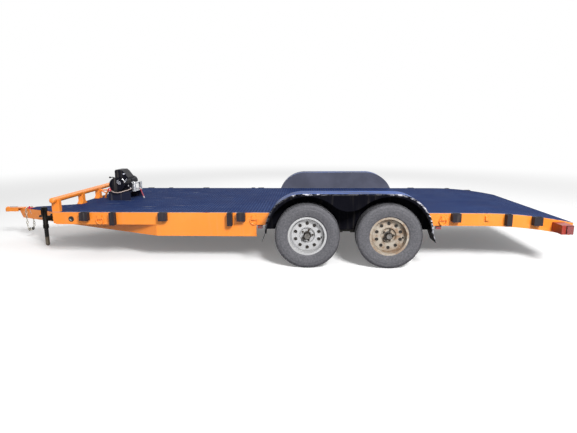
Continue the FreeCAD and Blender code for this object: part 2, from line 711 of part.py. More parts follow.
def make_headboard():
    """A round rail across the deck's front edge on two corner posts and three inner posts."""
    radius = expand("[stop_radius]")
    reach = plus(SIDE, expand("[stop_overhang]"))
    rail = cylinder("StopRail", "Y", STOP_X, minus("0", reach), STOP_Z, radius, plus(reach, reach))
    keep("stop_rail", rail)
    height = minus(expand("[stop_rise]"), "0")
    posts = [box("CornerPostLeft", DECK_FRONT, minus("0", SIDE), DECK_TOP, expand("[post_length]"),
                 expand("[post_width]"), height)]
    posts.append(mirrored("CornerPostRight", posts[0]))
    inner = minus(SIDE, expand("[inner_post_setback]"))
    width = expand("[inner_post]")
    posts.append(box("InnerPostLeft", minus(STOP_X, f"{width} / 2"), minus("0", inner, f"{width} / 2"),
                     DECK_TOP, width, width, height))
    posts.append(mirrored("InnerPostRight", posts[-1]))
    posts.append(box("MiddlePost", minus(STOP_X, f"{width} / 2"), f"-{width} / 2", DECK_TOP, width, width,
                     height))
    trimmed = []
    for post in posts:
        room = cylinder(post.Name + "Seat", "Y", STOP_X, minus("0", reach), STOP_Z, plus(radius, "0.2"),
                        plus(reach, reach))
        trimmed.append(cut(post.Name + "Trimmed", post, room))
    keep("stop_posts", group("StopPosts", *trimmed))


make_headboard()

# ---------------------------------------------------------------------------------------
# Winch
# ---------------------------------------------------------------------------------------

WINCH_X = plus(DECK_FRONT, expand("[winch_back]"))
WINCH_Z = plus(DECK_TOP, expand("[winch_rise]"))
STAND_TOP = plus(DECK_TOP, expand("[stand_rise]"))
FAIRLEAD_X = plus(WINCH_X, expand("[fairlead_back]"))


def make_winch():
    """A raised stand, the winch with its motor and gear housing, the control box and the fairlead."""
    half = expand("[stand_width] / 2")
    thick = expand("[stand_plate]")
    front = minus(WINCH_X, expand("[stand_front]"))
    length = minus(FAIRLEAD_X, front)
    top = box("StandTop", front, minus("0", half), minus(STAND_TOP, thick), length, expand("[stand_width]"), thick)
    walls = [box(f"StandWall{side}", front, y, DECK_TOP, length, thick, minus(expand("[stand_rise]"), thick))
             for side, y in (("Left", minus("0", half)), ("Right", minus(half, thick)))]
    keep("winch_stand", fuse("WinchStand", top, *walls))
    drum = expand("[drum_length] / 2")
    gear = cylinder("WinchGear", "Y", WINCH_X, minus("0", drum, expand("[gearbox_length]")), WINCH_Z,
                    expand("[gearbox_radius]"), expand("[gearbox_length]"))
    rope = cylinder("WinchRope", "Y", WINCH_X, minus("0", drum), WINCH_Z, expand("[drum_core]"),
                    expand("[drum_length]"))
    motor = cylinder("WinchMotor", "Y", WINCH_X, drum, WINCH_Z, expand("[motor_radius]"),
                     expand("[motor_length]"))
    foot = box("WinchFoot", minus(WINCH_X, "60"), minus("0", drum, "20"), STAND_TOP, "120",
               plus(drum, drum, "40"), "24")
    feet = [box(f"WinchEnd{side}", minus(WINCH_X, "60"), y, STAND_TOP, "120", "20",
                expand("[winch_rise] - [stand_rise]")) for side, y in
            (("Left", minus("0", drum, "20")), ("Right", drum))]
    keep("winch", fuse("Winch", gear, rope, motor, foot, *feet))
    case_low = plus(WINCH_Z, expand("[gearbox_radius]"))
    owner = body("ControlBoxBody")
    top = plus(case_low, expand("[case_height]"))
    corners = [
        (minus(WINCH_X, expand("[case_front]")), case_low),
        (plus(WINCH_X, expand("[case_back] - 103")), case_low),
        (plus(WINCH_X, expand("[case_back] - 43")), minus(case_low, expand("[case_lip]"))),
        (plus(WINCH_X, expand("[case_back]")), minus(case_low, expand("[case_lip]"))),
        (plus(WINCH_X, expand("[case_back]")), case_low),
        (plus(WINCH_X, expand("[case_back] - 58")), minus(top, "20")),
        (plus(WINCH_X, expand("[case_back] - 82")), top),
        (minus(WINCH_X, expand("[case_front] - 12")), top),
        (minus(WINCH_X, expand("[case_front]")), minus(top, "14")),
    ]
    side = outline(owner, "ControlBoxSide", "XZ_Plane", corners)
    pad(owner, "ControlBox", side, expand("[case_width]"), symmetric=True)
    owner.setExpression("Placement.Base.y", minus("0", drum, "10"))
    keep("winch_control_box", owner)
    make_fairlead()


def make_fairlead():
    """A frame at the stand's rear edge with two upright and two level rollers."""
    half = expand("[fairlead_width] / 2 + [roller_radius] * 2")
    height = expand("[fairlead_height]")
    thick = "6"
    deep = expand("[roller_radius] * 2 + 8")
    pieces = [
        box("FairleadBack", FAIRLEAD_X, minus("0", half), minus(STAND_TOP, "6"), thick, plus(half, half),
            height),
    ]
    window = box("FairleadWindow", minus(FAIRLEAD_X, "1"), expand("-[fairlead_width] / 2"),
                 plus(STAND_TOP, "22"), "8", expand("[fairlead_width]"), "58")
    frame = cut("FairleadFrame", pieces[0], window)
    low = box("FairleadLow", FAIRLEAD_X, minus("0", half), minus(STAND_TOP, thick), deep, plus(half, half), thick)
    high = box("FairleadHigh", FAIRLEAD_X, minus("0", half), plus(minus(STAND_TOP, "12"), height), deep,
               plus(half, half), thick)
    roller_x = plus(FAIRLEAD_X, thick, expand("[roller_radius] + 1"))
    radius = expand("[roller_radius]")
    rollers = [cylinder(f"FairleadRoller{side}", "Z", roller_x, y, STAND_TOP, radius, minus(height, "12"))
               for side, y in (("Left", minus(radius, half)), ("Right", minus(half, radius)))]
    keep("fairlead_frame", fuse("FairleadBody", frame, low, high))
    keep("fairlead_rollers", group("FairleadRollers", *rollers))
    make_pull_strap(plus(FAIRLEAD_X, deep))


def make_pull_strap(start):
    """The webbing strap of the winch's hook, which hangs from the fairlead down to the deck."""
    thick = expand("[strap_thick]")
    top = plus(DECK_TOP, expand("[strap_rise]"))
    lean = expand("[strap_rise] * 0.15")
    owner = body("PullStrapBody")
    side = outline(owner, "PullStrapSide", "XZ_Plane", [
        (start, top),
        (start, minus(top, thick, thick)),
        (plus(start, lean), plus(DECK_TOP, thick)),
        (plus(start, lean, thick), DECK_TOP),
        (plus(start, lean, expand("[strap_foot]")), DECK_TOP),
        (plus(start, lean, expand("[strap_foot]")), plus(DECK_TOP, thick)),
        (plus(start, lean, thick, thick), plus(DECK_TOP, thick)),
        (plus(start, lean, thick), plus(DECK_TOP, thick, thick)),
        (plus(start, thick), top),
    ])
    pad(owner, "PullStrap", side, expand("[strap_width]"), symmetric=True)
    owner.setExpression("Placement.Base.y", expand("[strap_side]"))
    keep("pull_strap", owner)


make_winch()

# ---------------------------------------------------------------------------------------
# Wheels, hubs and axles
# ---------------------------------------------------------------------------------------

FRONT_AXLE = minus(AXLES, expand("[axle_spacing] / 2"))
REAR_AXLE = plus(AXLES, expand("[axle_spacing] / 2"))
DISC_FACE = expand("[rim_width] / 2 - 52")
HUB_FACE = minus(DISC_FACE, expand("[disc]"), "22")


def lateral(side, offset):
    """The Y of a plane that is offset outwards from a wheel's middle plane."""
    return plus(TRACK, offset) if side > 0 else minus("0", TRACK, offset)


def on_wheel(item, x, side, offset="0"):
    """Put a piece at a wheel's place with its own axis pointing outwards."""
    item.Placement.Rotation = Rotation(Vector(1, 0, 0), -90 * side)
    return place(item, x, lateral(side, offset), WHEEL_HEIGHT)


def disc_of(name, x, side, offset, radius, length):
    """A round slab on a wheel's axis from an offset outwards."""
    item = doc.addObject("Part::Cylinder", name)
    bind(item, {"Radius": radius, "Height": length})
    return on_wheel(item, x, side, offset)


def make_tyre(name, x, side):
    """A tyre with rounded shoulders, bored for the rim and relieved for its lips."""
    owner = body(name + "_body")
    slab = owner.newObject("PartDesign::AdditiveCylinder", name + "_slab")
    bind(slab, {"Radius": expand("[tyre_radius]"), "Height": expand("[tyre_width]")})
    doc.recompute()
    rims = [f"Edge{index}" for index, edge in enumerate(slab.Shape.Edges, start=1)
            if isinstance(edge.Curve, Part.Circle)]
    shoulder = owner.newObject("PartDesign::Fillet", name + "_shoulders")
    shoulder.Base = (slab, rims)
    shoulder.setExpression("Radius", expand("[shoulder]"))
    bore = owner.newObject("PartDesign::SubtractiveCylinder", name + "_bore")
    bind(bore, {"Radius": expand("[bead_radius]"), "Height": expand("[tyre_width]")})
    relief = minus(expand("[tyre_width] / 2"), minus(expand("[rim_width] / 2"), expand("[lip]")))
    for which, start in (("inner", "0"), ("outer", minus(expand("[tyre_width]"), relief))):
        room = owner.newObject("PartDesign::SubtractiveCylinder", f"{name}_{which}_relief")
        bind(room, {"Radius": expand("[lip_radius]"), "Height": relief, "Placement.Base.z": start})
    on_wheel(owner, x, side, expand("-[tyre_width] / 2"))
    return keep(name, owner)


VENT_COUNT = 10
LUG_COUNT = 5


def make_rim(name, x, side):
    """A rim and its pressed disc in one turned section, with vent holes and lug holes."""
    owner = body(name + "_body")
    half, lip = expand("[rim_width] / 2"), expand("[lip]")
    seat, edge = expand("[bead_radius]"), expand("[lip_radius]")
    inside = minus(seat, expand("[barrel]"))
    thick = expand("[disc]")
    pilot, face, crown = expand("[pilot_radius]"), expand("[face_radius]"), expand("[crown_radius]")
    corners = [
        (edge, minus("0", half)),
        (edge, minus(lip, half)),
        (seat, minus(lip, half)),
        (seat, minus(half, lip)),
        (edge, minus(half, lip)),
        (edge, half),
        (inside, half),
        (inside, minus(DISC_FACE, "18")),
        (minus(inside, "18"), minus(DISC_FACE, "8")),
        (plus(crown, "9"), DISC_FACE),
        (minus(crown, "5"), DISC_FACE),
        (face, plus(HUB_FACE, thick)),
        (pilot, plus(HUB_FACE, thick)),
        (pilot, HUB_FACE),
        (plus(face, "1"), HUB_FACE),
        (minus(crown, "4"), minus(DISC_FACE, thick)),
        (plus(crown, "8"), minus(DISC_FACE, thick)),
        (minus(inside, "19"), minus(DISC_FACE, "8", thick)),
        (inside, minus(DISC_FACE, "18", thick, "4")),
        (inside, minus("0", half)),
    ]
    section = outline(owner, name + "_section", "XZ_Plane", corners)
    turned = owner.newObject("PartDesign::Revolution", name + "_turned")
    turned.Profile = section
    turned.ReferenceAxis = (section, ["V_Axis"])
    turned.Angle = 360
    doc.recompute()
    for which, circle, radius, count, first in (("vent", "[vent_circle]", "[vent_radius]", VENT_COUNT, 18),
                                                ("lug", "[lug_circle]", "[lug_radius] - 2", LUG_COUNT, 0)):
        hole = owner.newObject("PartDesign::SubtractiveCylinder", f"{name}_{which}")
        bind(hole, {"Radius": expand(radius), "Height": expand("[rim_width]"),
                    "Placement.Base.x": expand(f"{circle} * cos({first})"),
                    "Placement.Base.y": expand(f"{circle} * sin({first})")})
        pattern = owner.newObject("PartDesign::PolarPattern", f"{name}_{which}s")
        pattern.Originals = [hole]
        pattern.Axis = (next(item for item in owner.Origin.OriginFeatures if item.Role == "Z_Axis"), [""])
        pattern.Angle = 360
        pattern.Occurrences = count
        owner.Tip = pattern
    on_wheel(owner, x, side)
    return keep(name, owner)




def make_hub(name, x, side):
    """A hub with its drum, the grease cap and the lug nuts, bored for the spindle."""
    thick = expand("[disc]")
    drum_start = minus(HUB_FACE, expand("[drum_width]"))
    drum = disc_of(name + "_drum", x, side, drum_start, expand("[drum_radius]"), expand("[drum_width]"))
    room = disc_of(name + "_room", x, side, minus(drum_start, "1"), expand("[drum_radius] - 12"),
                   plus(expand("[drum_width]"), "-7"))
    barrel = disc_of(name + "_barrel", x, side, drum_start, expand("[hub_radius]"),
                     plus(expand("[drum_width]"), thick, "6"))
    cap = disc_of(name + "_cap", x, side, HUB_FACE, expand("[cap_radius]"),
                  plus(minus(DISC_FACE, HUB_FACE), expand("[cap_reach]")))
    pieces = [cut(name + "_shell", drum, room), barrel, cap]
    for index in range(LUG_COUNT):
        turn = 360 / LUG_COUNT * index
        for which, radius, start, length in (
                ("lug", expand("[lug_radius]"), plus(HUB_FACE, thick), "18"),
                ("stud", expand("[lug_radius] - 3"), HUB_FACE, plus(thick, "16"))):
            piece = disc_of(f"{name}_{which}{index}", x, side, start, radius, length)
            place(piece, plus(x, expand(f"[lug_circle] * cos({turn})")), lateral(side, start),
                  plus(WHEEL_HEIGHT, expand(f"[lug_circle] * sin({turn})")))
            pieces.append(piece)
    bore = disc_of(name + "_bore", x, side, minus(drum_start, "1"), expand("[spindle_radius] + [running]"),
                   plus(expand("[drum_width]"), "1", thick, "16"))
    return keep(name, cut(name + "_turned", fuse(name + "_solid", *pieces), bore))


def make_axle(name, x):
    """A straight axle tube with spindles, brake backing plates and spring seats."""
    reach = plus(TRACK, minus(HUB_FACE, expand("[drum_width]")), "-6")
    tube = cylinder(name + "_tube", "Y", x, minus("0", reach), WHEEL_HEIGHT, expand("[axle_radius]"),
                    plus(reach, reach))
    tip = plus(TRACK, HUB_FACE, "14")
    spindle = cylinder(name + "_spindle", "Y", x, minus("0", tip), WHEEL_HEIGHT, expand("[spindle_radius]"),
                       plus(tip, tip))
    pieces = [tube, spindle]
    for side in (-1, 1):
        plate = disc_of(f"{name}_backing{'LR'[side > 0]}", x, side,
                        minus(HUB_FACE, expand("[drum_width]"), "6", expand("[backing]")),
                        expand("[backing_radius]"), expand("[backing]"))
        middle = SPRING_SIDE if side > 0 else minus("0", SPRING_SIDE)
        seat = box(f"{name}_seat{'LR'[side > 0]}", minus(x, expand("[seat_length] / 2")),
                   minus(middle, expand("[spring_width] / 2")),
                   minus(WHEEL_HEIGHT, expand("[axle_radius] + [seat] - [seat_gap]")), expand("[seat_length]"),
                   expand("[spring_width]"), expand("[seat] + [seat_wrap]"))
        pieces += [plate, seat]
    return keep(name, fuse(name + "_solid", *pieces))


SIDES = (("left", -1), ("right", 1))
ENDS = (("front", FRONT_AXLE), ("rear", REAR_AXLE))

for end, axle_x in ENDS:
    make_axle(f"axle_{end}", axle_x)
    for side_name, side_sign in SIDES:
        make_tyre(f"tyre_{end}_{side_name}", axle_x, side_sign)
        make_rim(f"rim_{end}_{side_name}", axle_x, side_sign)
        make_hub(f"hub_{end}_{side_name}", axle_x, side_sign)

# ---------------------------------------------------------------------------------------
# Suspension: leaf springs under the axles, hangers and equalizers
# ---------------------------------------------------------------------------------------

LEAF_TOP = minus(WHEEL_HEIGHT, expand("[axle_radius] + [seat]"))
SPRING_RADIUS = expand("([spring_span]^2 / 4 + [spring_camber]^2) / (2 * [spring_camber])")
HALF_SPAN = expand("[spring_span] / 2")
HALF_ANGLE = f"asin({HALF_SPAN} / {SPRING_RADIUS})"
EYE_Z = plus(LEAF_TOP, expand("[spring_camber]"))


LEAF_TURNS = {
    1: Rotation(Vector(0, 0, -1), Vector(1, 0, 0), Vector(0, -1, 0), "XYZ"),
    -1: Rotation(Vector(0, 0, -1), Vector(-1, 0, 0), Vector(0, 1, 0), "XYZ"),
}


def leaf(name, x, middle, drop, thickness, share):
    """A bent strip of spring steel under the axle; share is its part of the full length."""
    width = expand("[spring_width]")
    inner = plus(SPRING_RADIUS, drop)
    centre = plus(LEAF_TOP, SPRING_RADIUS)
    halves = []
    for way, turn in LEAF_TURNS.items():
        start = plus(middle, f"{width} / 2 * {way}")
        halves.append(cylinder(f"{name}_{'rear' if way > 0 else 'front'}", "Y", x, start, centre,
                               plus(inner, thickness), width, f"{HALF_ANGLE} * {share}", turn))
    core = cylinder(name + "_core", "Y", x, minus(middle, width), centre, inner, f"{width} * 2")
    return cut(name, fuse(name + "_halves", *halves), core)


def make_springs():
    """Four springs, each a full-length leaf with an eye at both ends and a pack of shorter leaves."""
    springs = []
    for end, x in ENDS:
        for side_name, sign in SIDES:
            name = f"spring_{end}_{side_name}"
            middle = SPRING_SIDE if sign > 0 else minus("0", SPRING_SIDE)
            pieces = [
                leaf(name + "_main", x, middle, "0", expand("[main_leaf]"), "1"),
                leaf(name + "_pack", x, middle, expand("[main_leaf]"), expand("[leaf_pack]"), "0.62"),
            ]
            bores = []
            for eye, at in (("ahead", minus(x, HALF_SPAN)), ("behind", plus(x, HALF_SPAN))):
                near = minus(middle, expand("[spring_width] / 2"))
                pieces.append(cylinder(f"{name}_eye_{eye}", "Y", at, near, EYE_Z, expand("[eye_radius]"),
                                       expand("[spring_width]")))
                bores.append(cylinder(f"{name}_bore_{eye}", "Y", at, minus(near, "1"), EYE_Z,
                                      expand("[eye_bolt] + [bolt_play]"), expand("[spring_width] + 2")))
            springs.append(cut(name, fuse(name + "_leaves", *pieces), fuse(name + "_bores", *bores)))
    keep("leaf_springs", group("LeafSprings", *springs))


def hanger(name, x, middle, low, length):
    """Two plates that hang from the side rail with a bolt across them at their low end."""
    gap = expand("[spring_width] + 4")
    plate_thick = expand("[hanger_plate]")
    outer = plus(gap, plate_thick, plate_thick)
    bottom = minus(low, expand("[eye_radius]"))
    solid = box(name + "_bar", minus(x, f"{length} / 2"), minus(middle, f"{outer} / 2"), bottom,
                length, outer, minus(RAIL_LOW, bottom))
    slot = box(name + "_slot", minus(x, length), minus(middle, f"{gap} / 2"), minus(bottom, "1"),
               f"{length} * 2", gap, minus(RAIL_LOW, bottom, plate_thick, "-1"))
    bolt = cylinder(name + "_bolt", "Y", x, minus(middle, f"{outer} / 2 + 6"), low, expand("[eye_bolt]"),
                    plus(outer, "12"))
    return fuse(name, cut(name + "_plates", solid, slot), bolt)


EQUALIZER_HALF = minus(expand("[axle_spacing] / 2"), HALF_SPAN)
EQUALIZER_Z = plus(EYE_Z, "14")


def make_hangers():
    """Hangers ahead of, between and behind the springs, and the equalizers between them."""
    hangers, equalizers = [], []
    for side_name, sign in SIDES:
        middle = SPRING_SIDE if sign > 0 else minus("0", SPRING_SIDE)
        wide = expand("[hanger_width]")
        hangers.append(hanger(f"hanger_front_{side_name}", minus(FRONT_AXLE, HALF_SPAN), middle, EYE_Z, wide))
        hangers.append(hanger(f"hanger_rear_{side_name}", plus(REAR_AXLE, HALF_SPAN), middle, EYE_Z, wide))
        hangers.append(hanger(f"hanger_middle_{side_name}", AXLES, middle, EQUALIZER_Z, wide))
        name = f"equalizer_{side_name}"
        near = minus(middle, expand("[spring_width] / 2"))
        width = expand("[spring_width]")
        beam = box(name + "_beam", minus(AXLES, EQUALIZER_HALF, "-26"), near, minus(EQUALIZER_Z, "20"),
                   f"2 * {EQUALIZER_HALF} - 52", width, "36")
        pieces = [beam]
        for eye, at in (("ahead", minus(AXLES, EQUALIZER_HALF)), ("behind", plus(AXLES, EQUALIZER_HALF))):
            pieces.append(cylinder(f"{name}_pin_{eye}", "Y", at, minus(near, "12"), EYE_Z,
                                   expand("[eye_bolt]"), plus(width, "24")))
        for which, at in (("outer", minus(near, "7")), ("inner", plus(near, width, "1"))):
            for end, start, boss in (("ahead", minus(AXLES, EQUALIZER_HALF, "14"), minus(AXLES, EQUALIZER_HALF, "-40")),
                                     ("behind", plus(AXLES, "40"), plus(AXLES, EQUALIZER_HALF, "-40"))):
                pieces.append(box(f"{name}_link_{which}_{end}", start, at, minus(EYE_Z, "16"),
                                  f"{EQUALIZER_HALF} + 14 - 40", "6", "32"))
                pieces.append(cylinder(f"{name}_boss_{which}_{end}", "Y", boss, minus(at, "2"), EYE_Z, "8", "10"))
        bore = cylinder(name + "_bore", "Y", AXLES, minus(near, "20"), EQUALIZER_Z,
                        expand("[eye_bolt] + [bolt_play]"), plus(width, "40"))
        equalizers.append(cut(name, fuse(name + "_solid", *pieces), bore))
    keep("spring_hangers", group("SpringHangers", *hangers))
    keep("equalizers", group("Equalizers", *equalizers))


make_springs()
make_hangers()

# ---------------------------------------------------------------------------------------
# Fenders: a band over both wheels, an inner wall and an outer skirt with two arches
# ---------------------------------------------------------------------------------------

FENDER_TOP = plus(DECK_TOP, expand("[fender_rise]"))
FENDER_WAIST = minus(FENDER_TOP, expand("[fender_round]"))
FENDER_OUTER = plus(SIDE, expand("[fender_width]"))


def fender_blank(name, inset, near, width):
    """The fender's side outline as a solid, inset by a sheet's thickness where asked."""
    radius = minus(expand("[fender_round]"), inset)
    flat = expand("[fender_flat]")
    low = minus(FENDER_WAIST, "20")
    pieces = [
        box(name + "_middle", minus(AXLES, flat), near, low, f"2 * {flat}", width,
            minus(FENDER_TOP, inset, low)),
        box(name + "_waist", minus(AXLES, flat, radius), near, low, f"2 * ({flat} + {radius})", width, "20"),
    ]
    for end, x in (("front", minus(AXLES, flat)), ("rear", plus(AXLES, flat))):
        round_part = cylinder(f"{name}_{end}_round", "Y", x, near, FENDER_WAIST, radius, width)
        pieces.append(round_part)
    whole = fuse(name + "_all", *pieces)
    under = box(name + "_under", minus(AXLES, flat, radius, "1"), minus(near, "1"), minus(low, radius, "10"),
                f"2 * ({flat} + {radius} + 1)", plus(width, "2"), plus(radius, "10"))
    return cut(name, whole, under)


def make_fender():
    """The left fender, with its ends flared outwards below the shoulders."""
    sheet = expand("[fender_sheet]")
    outer_face = minus("0", FENDER_OUTER)
    width = expand("[fender_width]")
    shell = fender_blank("FenderOuter", "0", outer_face, width)
    room = fender_blank("FenderRoom", sheet, plus(outer_face, sheet), minus(width, sheet, sheet))
    deeper = place(box("FenderMouth", *["0"] * 3,
                       f"2 * ({expand('[fender_flat]')} + {expand('[fender_round]')} - {sheet})",
                       minus(width, sheet, sheet), "60"),
                   minus(AXLES, expand("[fender_flat] + [fender_round]"), f"-{sheet}"), plus(outer_face, sheet),
                   minus(FENDER_WAIST, "60"))
    arches = [cylinder(f"FenderArch{end}", "Y", x, minus(outer_face, "2"), WHEEL_HEIGHT,
                       expand("[arch_radius]"), plus(sheet, "4")) for end, x in ENDS]
    half = expand("[axle_spacing] / 2")
    rise = f"({expand('[skirt_low]')} - {WHEEL_HEIGHT})"
    arch = expand("[arch_radius]")
    bulge = f"(({half}^2 + {rise}^2 - {arch}^2) / (2 * ({arch} - {rise})))"
    touch_x = f"({half} * {bulge} / ({arch} + {bulge}))"
    touch_z = plus(WHEEL_HEIGHT, f"({rise} + {bulge}) * {arch} / ({arch} + {bulge})")
    between = box("FenderBetween", minus(AXLES, touch_x), minus(outer_face, "2"), minus(FENDER_WAIST, "80"),
                  f"2 * {touch_x}", plus(sheet, "4"), minus(touch_z, FENDER_WAIST, "-80"))
    drop = cylinder("FenderDrop", "Y", AXLES, minus(outer_face, "4"), plus(expand("[skirt_low]"), bulge),
                    bulge, plus(sheet, "8"))
    opened = cut("FenderShell", shell, fuse("FenderHollow", room, deeper, *arches,
                                            cut("FenderGap", between, drop)))
    flares = []
    for end, sign in (("front", -1), ("rear", 1)):
        flare = box(f"FenderFlare{end}", "0", "0", "0", sheet, width, expand("[fender_drop] / cos([fender_flare])"))
        angle = expand(f"{-sign} * [fender_flare]")
        flare.Placement.Rotation = Rotation(Vector(0, 1, 0), number(angle) + 180)
        flare.setExpression("Placement.Rotation.Angle", f"{angle} + 180")
        shift = sheet if sign < 0 else "0"
        place(flare, plus(AXLES, f"{sign} * {expand('[fender_flat] + [fender_round]')}", shift), outer_face,
              plus(FENDER_WAIST, "-14"))
        flares.append(flare)
    keep("fender_left", fuse("FenderLeft", opened, *flares))
    keep("fender_right", mirrored("FenderRight", nodes["fender_left"]))


make_fender()

# ---------------------------------------------------------------------------------------
# Stake pockets and tie-down rings on the side rails
# ---------------------------------------------------------------------------------------

SQUARE_POCKETS = [plus(DECK_FRONT, expand("[square_one]")), plus(DECK_FRONT, expand("[square_two]")),
                  plus(DECK_FRONT, expand("[square_three]")), minus(TAIL_START, expand("[square_last]"))]
TALL_POCKETS = [plus(DECK_FRONT, expand("[tall_one]")), plus(DECK_FRONT, expand("[tall_two]"))]
RINGS = [plus(DECK_FRONT, expand("[ring_one]")), plus(DECK_FRONT, expand("[ring_two]")),
         minus(TAIL_START, expand("[ring_last]"))]
BARE_CLIPS = [plus(TAIL_START, expand("[bare_clip]"))]
TAIL_POCKETS = [("tall", expand("[tail_tall]")), ("square", expand("[tail_square]"))]


def tail_top(run):
    """Height of the tail's surface this far behind its start."""
    return plus(TAIL_CENTRE, f"sqrt({expand('[tail_radius]')}^2 - {run}^2)")


def pocket(name, x, width, top, depth):
    """An open tube welded to the left side rail; stakes drop in from above."""
    reach, wall = expand("[pocket_reach]"), expand("[pocket_wall]")
    near = minus("0", SIDE, reach)
    solid = box(name + "_bar", minus(x, f"{width} / 2"), near, minus(top, depth), width, reach, depth)
    hole = box(name + "_hole", minus(x, f"{width} / 2 - {wall}"), plus(near, wall), minus(top, depth, "1"),
               minus(width, wall, wall), minus(reach, wall, wall), plus(depth, "2"))
    return cut(name, solid, hole)


def make_pockets():
    """The square and the tall stake pockets of both sides."""
    square, tall = expand("[square_pocket]"), expand("[tall_pocket]")
    deep = plus(expand("[rail_depth]"), expand("[plate]"))
    left = [pocket(f"SquarePocket{index}", x, square, DECK_TOP, square)
            for index, x in enumerate(SQUARE_POCKETS)]
    left += [pocket(f"TallPocket{index}", x, tall, DECK_TOP, deep) for index, x in enumerate(TALL_POCKETS)]
    for kind, run in TAIL_POCKETS:
        width, depth = (square, square) if kind == "square" else (tall, minus(deep, "16"))
        left.append(pocket(f"TailPocket{kind}", plus(TAIL_START, run), width, tail_top(run), depth))
    right = [mirrored(item.Name + "Right", item) for item in left]
    keep("stake_pockets", group("StakePockets", *left, *right))


def clip_block(name, x):
    """A folded clip on the left side rail that holds a ring."""
    size = expand("[clip]")
    wire = expand("[ring_wire]")
    middle = plus(RAIL_LOW, expand("[rail_depth] * 0.62"))
    return box(name, minus(x, f"{size} / 2"), minus("0", SIDE, f"{wire} * 2 + 8"),
               minus(middle, f"{size} / 2"), size, f"{wire} * 2 + 8", size)


def make_rings():
    """The clips with their rings hanging down, and the clip whose ring is missing."""
    rings, clips = [], []
    wire, radius = expand("[ring_wire]"), expand("[ring_radius]")
    middle = plus(RAIL_LOW, expand("[rail_depth] * 0.62"))
    for index, x in enumerate(RINGS + BARE_CLIPS):
        clip = clip_block(f"RingClip{index}", x)
        groove_y = minus("0", SIDE, f"{wire} + 4")
        if index < len(RINGS):
            ring = doc.addObject("Part::Torus", f"Ring{index}")
            ring.Placement.Rotation = Rotation(Vector(1, 0, 0), 90)
            bind(ring, {"Radius1": radius, "Radius2": wire})
            place(ring, x, groove_y, minus(middle, radius))
            room = doc.addObject("Part::Torus", f"RingRoom{index}")
            room.Placement.Rotation = Rotation(Vector(1, 0, 0), 90)
            bind(room, {"Radius1": radius, "Radius2": plus(wire, "0.5")})
            place(room, x, groove_y, minus(middle, radius))
            clip = cut(f"RingClipOpen{index}", clip, room)
            rings.append(ring)
        clips.append(clip)
    rings += [mirrored(item.Name + "Right", item) for item in list(rings)]
    clips += [mirrored(item.Name + "Right", item) for item in list(clips)]
    keep("tie_down_rings", group("TieDownRings", *rings))
    keep("ring_clips", group("RingClips", *clips))


make_pockets()
make_rings()

# ---------------------------------------------------------------------------------------
# Lights
# ---------------------------------------------------------------------------------------


def make_lights():
    """Light boxes at the tail's end with their lamps, and the marker lamps under the rails."""
    run = expand("[tail_run] - [light_box_inset]")
    length, width, height = expand("[light_box_length]"), expand("[light_box_width]"), expand("[light_box_height]")
    wall = expand("[light_box_wall]")
    rear = minus(TAIL_END, expand("[light_box_inset]"))
    top = minus(tail_top(run), "12")
    near = minus("0", SIDE, width)
    solid = box("LightBoxBar", minus(rear, length), near, minus(top, height), length, width, height)
    room = box("LightBoxRoom", minus(rear, length, f"-{wall}"), plus(near, wall), minus(top, height, f"-{wall}"),
               length, minus(width, wall, wall), minus(height, wall, wall))
    left_box = cut("LightBoxLeft", solid, room)
    keep("light_boxes", group("LightBoxes", left_box, mirrored("LightBoxRight", left_box)))
    lamp = box("TailLampLeft", minus(rear, expand("[lamp_depth]")), plus(near, wall), minus(top, height, f"-{wall}"),
               expand("[lamp_depth] + [lens_rise]"), minus(width, wall, wall), minus(height, wall, wall))
    side_lamp = box("SideLampLeft", minus(rear, expand("[side_lamp_length] + [wall_margin]")),
                    minus(near, expand("[side_lamp_rise]")), minus(top, height, expand("-[wall_margin]")),
                    expand("[side_lamp_length]"), expand("[side_lamp_rise]"),
                    minus(height, expand("[wall_margin] * 2")))
    lamps = [lamp, side_lamp]
    keep("tail_lamps", group("TailLamps", *lamps, *[mirrored(item.Name + "Right", item) for item in lamps]))
    size = expand("[marker_size]")
    markers = [box(f"MarkerLamp{index}", minus(x, f"{size} / 2"), minus("0", SIDE, expand("[marker_reach]")),
                  minus(RAIL_LOW, expand("[marker_drop]")), size, expand("[marker_reach] + [web]"), expand("[marker_drop]"))
              for index, x in enumerate((minus(AXLES, expand("[marker_ahead]")), plus(AXLES, expand("[marker_behind]"))))]
    markers += [mirrored(item.Name + "Right", item) for item in list(markers)]
    keep("marker_lamps", group("MarkerLamps", *markers))


make_lights()

# ---------------------------------------------------------------------------------------
# Checks and export
# ---------------------------------------------------------------------------------------


def check():
    """Stop with a message when a feature failed or a sub-part has no valid solid."""
    doc.recompute()
    faults = [item.Name for item in doc.Objects if {"Invalid", "Error"} & set(item.State)]
    for name, item in nodes.items():
        shape = item.Shape
        if shape.isNull() or not shape.isValid() or not shape.Solids:
            faults.append(name)
    if faults:
        raise RuntimeError("failed: " + ", ".join(faults))


def export():
    """Write each sub-part to its own file."""
    os.makedirs("parts", exist_ok=True)
    for name, item in nodes.items():
        item.Shape.exportStep(os.path.join("parts", name + ".step"))


check()
export()
print(len(nodes), "sub-parts")
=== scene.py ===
"""Looks of a tandem-axle car transporter trailer: finishes, fine shapes, light and camera."""

from __future__ import annotations

import json
import logging
import math
from dataclasses import dataclass, field
from enum import Enum
from typing import Any, Callable, Iterable, Sequence

import bmesh
import bpy
from mathutils import Matrix, Vector

